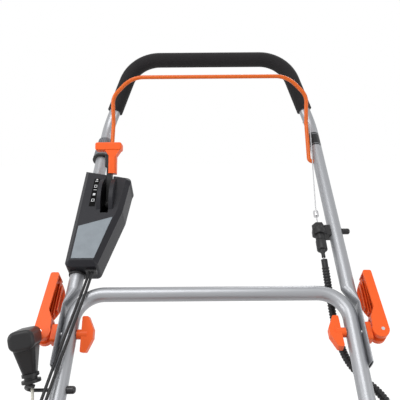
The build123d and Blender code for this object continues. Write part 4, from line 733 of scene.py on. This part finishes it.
# %% Brake cable
ADJUSTER_X, ADJUSTER_N, ADJUSTER_T = 178, 5, 178
CONDUIT_TOP = ADJUSTER_T - 58
BRAKE_STEPS = [
    (0, 0, 0), (1.5, -24, -8), (5, -51, -24), (8, -82, -38), (11, -116, -41), (16, -148, -37),
    (32, -176, -32), (52, -200, -26), (63, -236, -16), (65, -288, -8), (61, -342, 2), (54, -393, 13),
    (40, -444, 27), (18, -495, 45), (-9, -542, 65), (-37, -582, 84), (-66, -619, 102), (-92, -651, 119.5),
]
brake_route = [on_handle(ADJUSTER_X + x, CONDUIT_TOP + t, ADJUSTER_N + n) for x, t, n in BRAKE_STEPS]
sheathed_cable("brake_cable", brake_route)

# %% [markdown]
# Near the handle that cable runs in a ribbed conduit. A ribbed hose is a row of rings: its wall profile
# is spun round a straight axis, and a Curve modifier then bends that straight hose along the cable's
# line.

# %% Ribbed conduit
CONDUIT_R, CONDUIT_RIB, CONDUIT_PITCH, CONDUIT_RIBS, CONDUIT_SIDES = 5.8, 0.9, 4.4, 58, 20
RIB_SHAPE = ((0.20, 0), (0.40, CONDUIT_RIB), (0.75, CONDUIT_RIB), (0.95, 0))
groove_r = CONDUIT_R - CONDUIT_RIB
profile = [(0, groove_r)]
for rib in range(CONDUIT_RIBS):
    foot = 2 * CONDUIT_R + rib * CONDUIT_PITCH
    profile += [(foot + part * CONDUIT_PITCH, groove_r + rise) for part, rise in RIB_SHAPE]
profile.append((4 * CONDUIT_R + CONDUIT_RIBS * CONDUIT_PITCH, groove_r))
hose = bmesh.new()
spots = [hose.verts.new((radius / 1000, 0, down / 1000)) for down, radius in profile]
wall_edges = [hose.edges.new(pair) for pair in zip(spots, spots[1:])]
bmesh.ops.spin(hose, geom=spots + wall_edges, cent=(0, 0, 0), axis=(0, 0, 1), angle=2 * pi,
               steps=CONDUIT_SIDES, use_merge=True)
bmesh.ops.recalc_face_normals(hose, faces=hose.faces)
hose_mesh = bpy.data.meshes.new("ribbed_conduit")
hose.to_mesh(hose_mesh)
hose.free()
conduit = add_object("ribbed_conduit", hose_mesh)
guide = add_object("conduit_guide", nurbs_line("conduit_guide", brake_route))
follow = conduit.modifiers.new("follow", "CURVE")
follow.object = guide
follow.deform_axis = "POS_Z"
conduit = smooth(as_mesh(conduit))
bpy.data.objects.remove(guide)
wear(conduit, finishes["cable_sheath"])
bend_at_fold(conduit)
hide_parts("brake_conduit")
print("conduit ribs", CONDUIT_RIBS, "faces", len(conduit.data.polygons))

# %% [markdown]
# The bare brake wire leaves the adjuster, carries a small crimped ferrule and hooks into the bail. It is
# thin, so a plain bevel is enough.

# %% Brake wire
BAIL_PIVOT_T, BAIL_LOWER, BAIL_HALF, BAIL_R = 340, 81, 184.5, 3.7
BAIL_OPEN, WIRE_R = radians(21), 0.0009
kink_t, kink_n = BAIL_PIVOT_T + BAIL_LOWER * cos(BAIL_OPEN), BAIL_LOWER * sin(BAIL_OPEN)
wire_route = [
    (ADJUSTER_X, CONDUIT_TOP + 1, ADJUSTER_N), (ADJUSTER_X, ADJUSTER_T, ADJUSTER_N),
    (ADJUSTER_X, ADJUSTER_T + 26, ADJUSTER_N), (ADJUSTER_X + 1, ADJUSTER_T + 44, ADJUSTER_N + 1),
    (BAIL_HALF + BAIL_R + 2.6, kink_t - 14, kink_n - 1.5), (BAIL_HALF + BAIL_R + 3, kink_t, kink_n),
    (BAIL_HALF + BAIL_R, kink_t + 0.2, kink_n), (BAIL_HALF - BAIL_R - 3, kink_t, kink_n),
]
wire = cable("brake_wire_strand", [on_handle(*p) for p in wire_route], WIRE_R, finishes["wire_steel"])
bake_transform(wire)
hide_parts("brake_wire")
print("brake wire hooked at", tuple(round(v, 3) for v in on_handle(BAIL_HALF, kink_t, kink_n)))

# %% [markdown]
# Small fittings are made as a bmesh and set on the handle in its own axes. A ferrule, a nut and a sleeve
# are all one thing to a maker: a cone with equal ends, its rims rounded, standing along the leg.

# %% Fitting makers
HANDLE_AXES = Matrix((ACROSS, UP_LEG, OFF_LEG)).transposed().to_4x4()
ALONG_LEG = Vector((0, 0, 1)).rotation_difference(UP_LEG).to_matrix().to_4x4()
RIM_ANGLE = radians(80)


def fitting(name, shape, material_name):
    mesh = bpy.data.meshes.new(name)
    bmesh.ops.recalc_face_normals(shape, faces=shape.faces)
    shape.to_mesh(mesh)
    shape.free()
    piece = add_object(name, mesh)
    wear(piece, finishes[material_name])
    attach(piece, "upper_handle")
    return piece


def round_edges(shape, edges, width, segments=2):
    bmesh.ops.bevel(shape, geom=edges, offset=width / 1000, segments=segments, profile=0.5, affect="EDGES",
                    material=-1)


def barrel(name, sides, radius, low, long, edge, material_name):
    shape = bmesh.new()
    bmesh.ops.create_cone(shape, cap_ends=True, segments=sides, radius1=radius / 1000,
                          radius2=radius / 1000, depth=long / 1000)
    rims = [e for e in shape.edges if e.calc_face_angle() > RIM_ANGLE]
    round_edges(shape, rims, edge, segments=3)
    centre = on_handle(ADJUSTER_X, low + long / 2, ADJUSTER_N)
    bmesh.ops.transform(shape, matrix=Matrix.Translation(centre) @ ALONG_LEG, verts=shape.verts)
    return smooth(fitting(name, shape, material_name))


FERRULE_SIDES, FERRULE_R, FERRULE_LONG, FERRULE_EDGE = 28, 4.4, 11, 0.8
FERRULE_LOW = ADJUSTER_T + 27.5
barrel("wire_ferrule", FERRULE_SIDES, FERRULE_R, FERRULE_LOW, FERRULE_LONG, FERRULE_EDGE, "plain_steel")
print("ferrule", FERRULE_LONG, "mm long")

# %% [markdown]
# The starter rope is a braided cord under tension, from the grip through the pigtail ring to the engine.
# Its braid is too fine to model, so two crossing waves along the rope's own UV map raise it in the
# shading.

# %% Rope material
BRAID_ANGLE, BRAID_STRETCH = radians(38), (4.0, 60.0, 1.0)
BRAID_BUMP, BRAID_DEPTH = 0.6, 0.0006
braid = finish("braided_rope", (0.72, 0.70, 0.62), 0.82, grain=1500, patch=60, drift=0.10, bump=0.4,
               depth=0.0003)
braid_tree = braid.node_tree
rope_uv = braid_tree.nodes.new("ShaderNodeUVMap")
lays = []
for slant in (1, -1):
    turn = braid_tree.nodes.new("ShaderNodeMapping")
    turn.inputs["Scale"].default_value = BRAID_STRETCH
    turn.inputs["Rotation"].default_value = (0, 0, slant * BRAID_ANGLE)
    wave = braid_tree.nodes.new("ShaderNodeTexWave")
    wave.inputs["Scale"].default_value = 1.0
    braid_tree.links.new(rope_uv.outputs["UV"], turn.inputs["Vector"])
    braid_tree.links.new(turn.outputs["Vector"], wave.inputs["Vector"])
    lays.append(wave.outputs["Fac"])
add_bump(braid, both_of(braid_tree, *lays), BRAID_BUMP, BRAID_DEPTH)
print("rope braid of", len(lays), "lays")

# %% [markdown]
# The rope's route starts inside the grip, turns at the ring and runs straight to the starter's outlet.

# %% Starter rope
ROPE_R, RING_X, RING_R, GUIDE_T = 0.0020, -235, 8, -78
STARTER_R, PULLEY_R, PULLEY_Z, GRIP_HIGH, ROPE_LEAD = 0.098, 0.036, 0.352, 0.070, 0.018
OUTLET_SIDE, OUTLET_BACK, WINDING_SIDE = 0.82, 0.57, 0.86
KNOT_BELOW, GRIP_MOUTH, RING_NEAR, RING_FAR, OUTLET_NEAR = 0.001, 0.006, 0.010, 0.030, 0.03
GRIP_SIDE, GRIP_BACK, GRIP_SEAT = radians(11), radians(15), 0.00723
ENGINE = joint_at["rotor_spin"]
grip_axis = Vector((-tan(GRIP_SIDE), tan(GRIP_BACK), 1)).normalized()
ring = on_handle(RING_X, GUIDE_T, RING_R)
grip_base = ring + grip_axis * GRIP_SEAT
outlet = Vector((-OUTLET_SIDE * STARTER_R, ENGINE.y + OUTLET_BACK * STARTER_R, PULLEY_Z))
run = (outlet - ring).normalized()
rope_route = [
    grip_base + grip_axis * (GRIP_HIGH / 2 - KNOT_BELOW), grip_base + grip_axis * GRIP_MOUTH, ring,
    ring + run * RING_NEAR, ring + run * RING_FAR, outlet - run * OUTLET_NEAR, outlet + run * ROPE_LEAD,
    Vector((-WINDING_SIDE * PULLEY_R, ENGINE.y, PULLEY_Z)),
]
rope = cable("starter_rope_braid", rope_route, ROPE_R, braid)
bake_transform(rope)
declare_cord(rope, rope_route)
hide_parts("starter_rope")
print("rope faces", len(rope.data.polygons), "UV", [layer.name for layer in rope.data.uv_layers])

# %% [markdown]
# ## Fittings of the control housing
# The housing carries a dark strip with plain marks beside its slot. Strip and marks are thin blocks,
# turned by the slope of the leg, so that they run along the housing's edge.

# %% Scale beside the slot
LEG_SLOPE = 0.01766
SCALE_X, SCALE_T, SCALE_N = -195.7, 242, 30
SCALE_WIDE, SCALE_LONG, SCALE_THICK, SCALE_EDGE = 9.5, 61, 0.5, 0.2
MARK_THICK, FRAME_LINE = 0.3, 0.9
FRAME_WIDE, FRAME_TALL, FRAME_SIDE, FRAME_TOP = 4.9, 6, 2, 2.6
TIP_RISE, TIP_R = 28, 2.4
BARS = ((24, 5, 1), (5, 5, 1), (-5, 4, 4.5))
FRAMES = (13, -18)


def scale_block(shape, rise, off, extent, side=0.0, up=0.0):
    spot = on_handle(SCALE_X + LEG_SLOPE * rise + side, SCALE_T + rise + up, SCALE_N + off)
    made = bmesh.ops.create_cube(shape, size=MM)["verts"]
    place = Matrix.Translation(spot) @ HANDLE_AXES @ Matrix.Rotation(-LEG_SLOPE, 4, "Z")
    bmesh.ops.transform(shape, matrix=place @ Matrix.Diagonal((*extent, 1)), verts=made)


strip_shape = bmesh.new()
scale_block(strip_shape, 0, SCALE_THICK / 2, (SCALE_WIDE, SCALE_LONG, SCALE_THICK))
round_edges(strip_shape, list(strip_shape.edges), SCALE_EDGE)
fitting("scale_strip", strip_shape, "scale_black")

marks = bmesh.new()
for rise, wide, high in BARS:
    scale_block(marks, rise, SCALE_THICK, (wide, high, MARK_THICK))
for rise in FRAMES:
    for way in (-1, 1):
        scale_block(marks, rise, SCALE_THICK, (FRAME_LINE, FRAME_TALL, MARK_THICK), side=way * FRAME_SIDE)
        scale_block(marks, rise, SCALE_THICK, (FRAME_WIDE, FRAME_LINE, MARK_THICK), up=way * FRAME_TOP)
tip_spot = on_handle(SCALE_X + LEG_SLOPE * TIP_RISE, SCALE_T + TIP_RISE, SCALE_N + SCALE_THICK)
bmesh.ops.create_cone(marks, cap_ends=True, segments=3, radius1=TIP_R / 1000, radius2=TIP_R / 1000,
                      depth=MARK_THICK / 1000, matrix=Matrix.Translation(tip_spot) @ HANDLE_AXES)
fitting("scale_marks", marks, "scale_white")
print("scale strip", SCALE_LONG, "mm long")

# %% [markdown]
# The throttle's arm is a thin plate in the solids. The real one is a moulded web, so a copy of the plate
# is widened about its middle, and a block is set behind the stem of the knob. It swings with the
# throttle.

# %% Throttle web
WEB_WIDE, WEB_X = 9.0, -175.5
HEEL_X, HEEL_MID, HEEL_WIDE, HEEL_LONG, HEEL_DEEP, HEEL_EDGE = -179, 79, 11, 22, 9, 1
web_shape = bmesh.new()
web_shape.from_mesh(nodes["throttle_arm"].data)
arm_low, arm_high = (pick(v.co.x for v in web_shape.verts) for pick in (min, max))
for vertex in web_shape.verts:
    place_across = (vertex.co.x - (arm_low + arm_high) / 2) / (arm_high - arm_low)
    vertex.co.x = (WEB_X + WEB_WIDE * place_across) / 1000
pivot = joint_at["throttle_swing"]
tip = max((vertex.co.copy() for vertex in web_shape.verts), key=lambda spot: (spot - pivot).length)
outward = Vector((0, tip.y - pivot.y, tip.z - pivot.z)).normalized()
heel_axes = Matrix((ACROSS, outward, ACROSS.cross(outward))).transposed().to_4x4()
heel_spot = Vector((HEEL_X / 1000, pivot.y, pivot.z)) + outward * HEEL_MID / 1000
heel_size = Matrix.Diagonal((HEEL_WIDE, HEEL_LONG, HEEL_DEEP, 1))
heel = bmesh.ops.create_cube(web_shape, size=MM)["verts"]
heel_edges = [edge for edge in web_shape.edges if edge.verts[0] in heel]
bmesh.ops.transform(web_shape, matrix=Matrix.Translation(heel_spot) @ heel_axes @ heel_size, verts=heel)
round_edges(web_shape, heel_edges, HEEL_EDGE)
web_mesh = bpy.data.meshes.new("throttle_web")
web_shape.to_mesh(web_mesh)
web_shape.free()
web = add_object("throttle_web", web_mesh)
wear(web, finishes["black_plastic"])
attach(web, "throttle")
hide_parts("throttle_arm")
print("throttle web", WEB_WIDE, "mm wide")

# %% [markdown]
# On the other leg the cable adjuster has a hexagon nut round its seat and a thick sleeve below it. Both
# are barrels, the nut one with six sides.

# %% Cable adjuster
NUT_SIDES, NUT_R, NUT_LOW, NUT_LONG, NUT_EDGE = 6, 12.4, 166, 13, 2.0
SLEEVE_SIDES, SLEEVE_R, SLEEVE_LOW, SLEEVE_LONG, SLEEVE_EDGE = 32, 8.4, 137, 19, 1.5
barrel("adjuster_nut", NUT_SIDES, NUT_R, NUT_LOW, NUT_LONG, NUT_EDGE, "black_plastic")
barrel("adjuster_sleeve", SLEEVE_SIDES, SLEEVE_R, SLEEVE_LOW, SLEEVE_LONG, SLEEVE_EDGE, "black_plastic")
print("adjuster nut", 2 * NUT_R, "mm across")

# %% [markdown]
# Rubber rings seal the housing to the tube at both ends. A ring is a small round profile spun about the
# leg.

# %% Seal rings
LEG_HALF, LEG_HALF_T = 207.5, 70
LEG_AT_FOLD = LEG_HALF + LEG_HALF_T * LEG_SLOPE
SEAL_R, SEAL_THICK, SEAL_WIDE, SEAL_CORNERS, SEAL_STEPS = 11.3, 1.9, 5, 12, 40
SEALS = {"lower_seal": 97.5, "upper_seal": 298}


def seal_ring(name, t):
    ring_shape = bmesh.new()
    corners = []
    for step in range(SEAL_CORNERS):
        turn = 2 * pi * step / SEAL_CORNERS
        reach = SEAL_R + SEAL_THICK * (1 + cos(turn)) / 2
        corners.append(ring_shape.verts.new((reach / 1000, SEAL_WIDE * sin(turn) / 2000, 0)))
    loop = [ring_shape.edges.new(pair) for pair in zip(corners, corners[1:] + corners[:1])]
    bmesh.ops.spin(ring_shape, geom=corners + loop, cent=(0, 0, 0), axis=(0, 1, 0), angle=2 * pi,
                   steps=SEAL_STEPS, use_merge=True)
    spot = on_handle(LEG_SLOPE * t - LEG_AT_FOLD, t, 0)
    place = Matrix.Translation(spot) @ HANDLE_AXES @ Matrix.Rotation(-LEG_SLOPE, 4, "Z")
    bmesh.ops.transform(ring_shape, matrix=place, verts=ring_shape.verts)
    return smooth(fitting(name, ring_shape, "black_plastic"))


for seal_name, seal_t in SEALS.items():
    seal_ring(seal_name, seal_t)
print(len(SEALS), "seal rings")
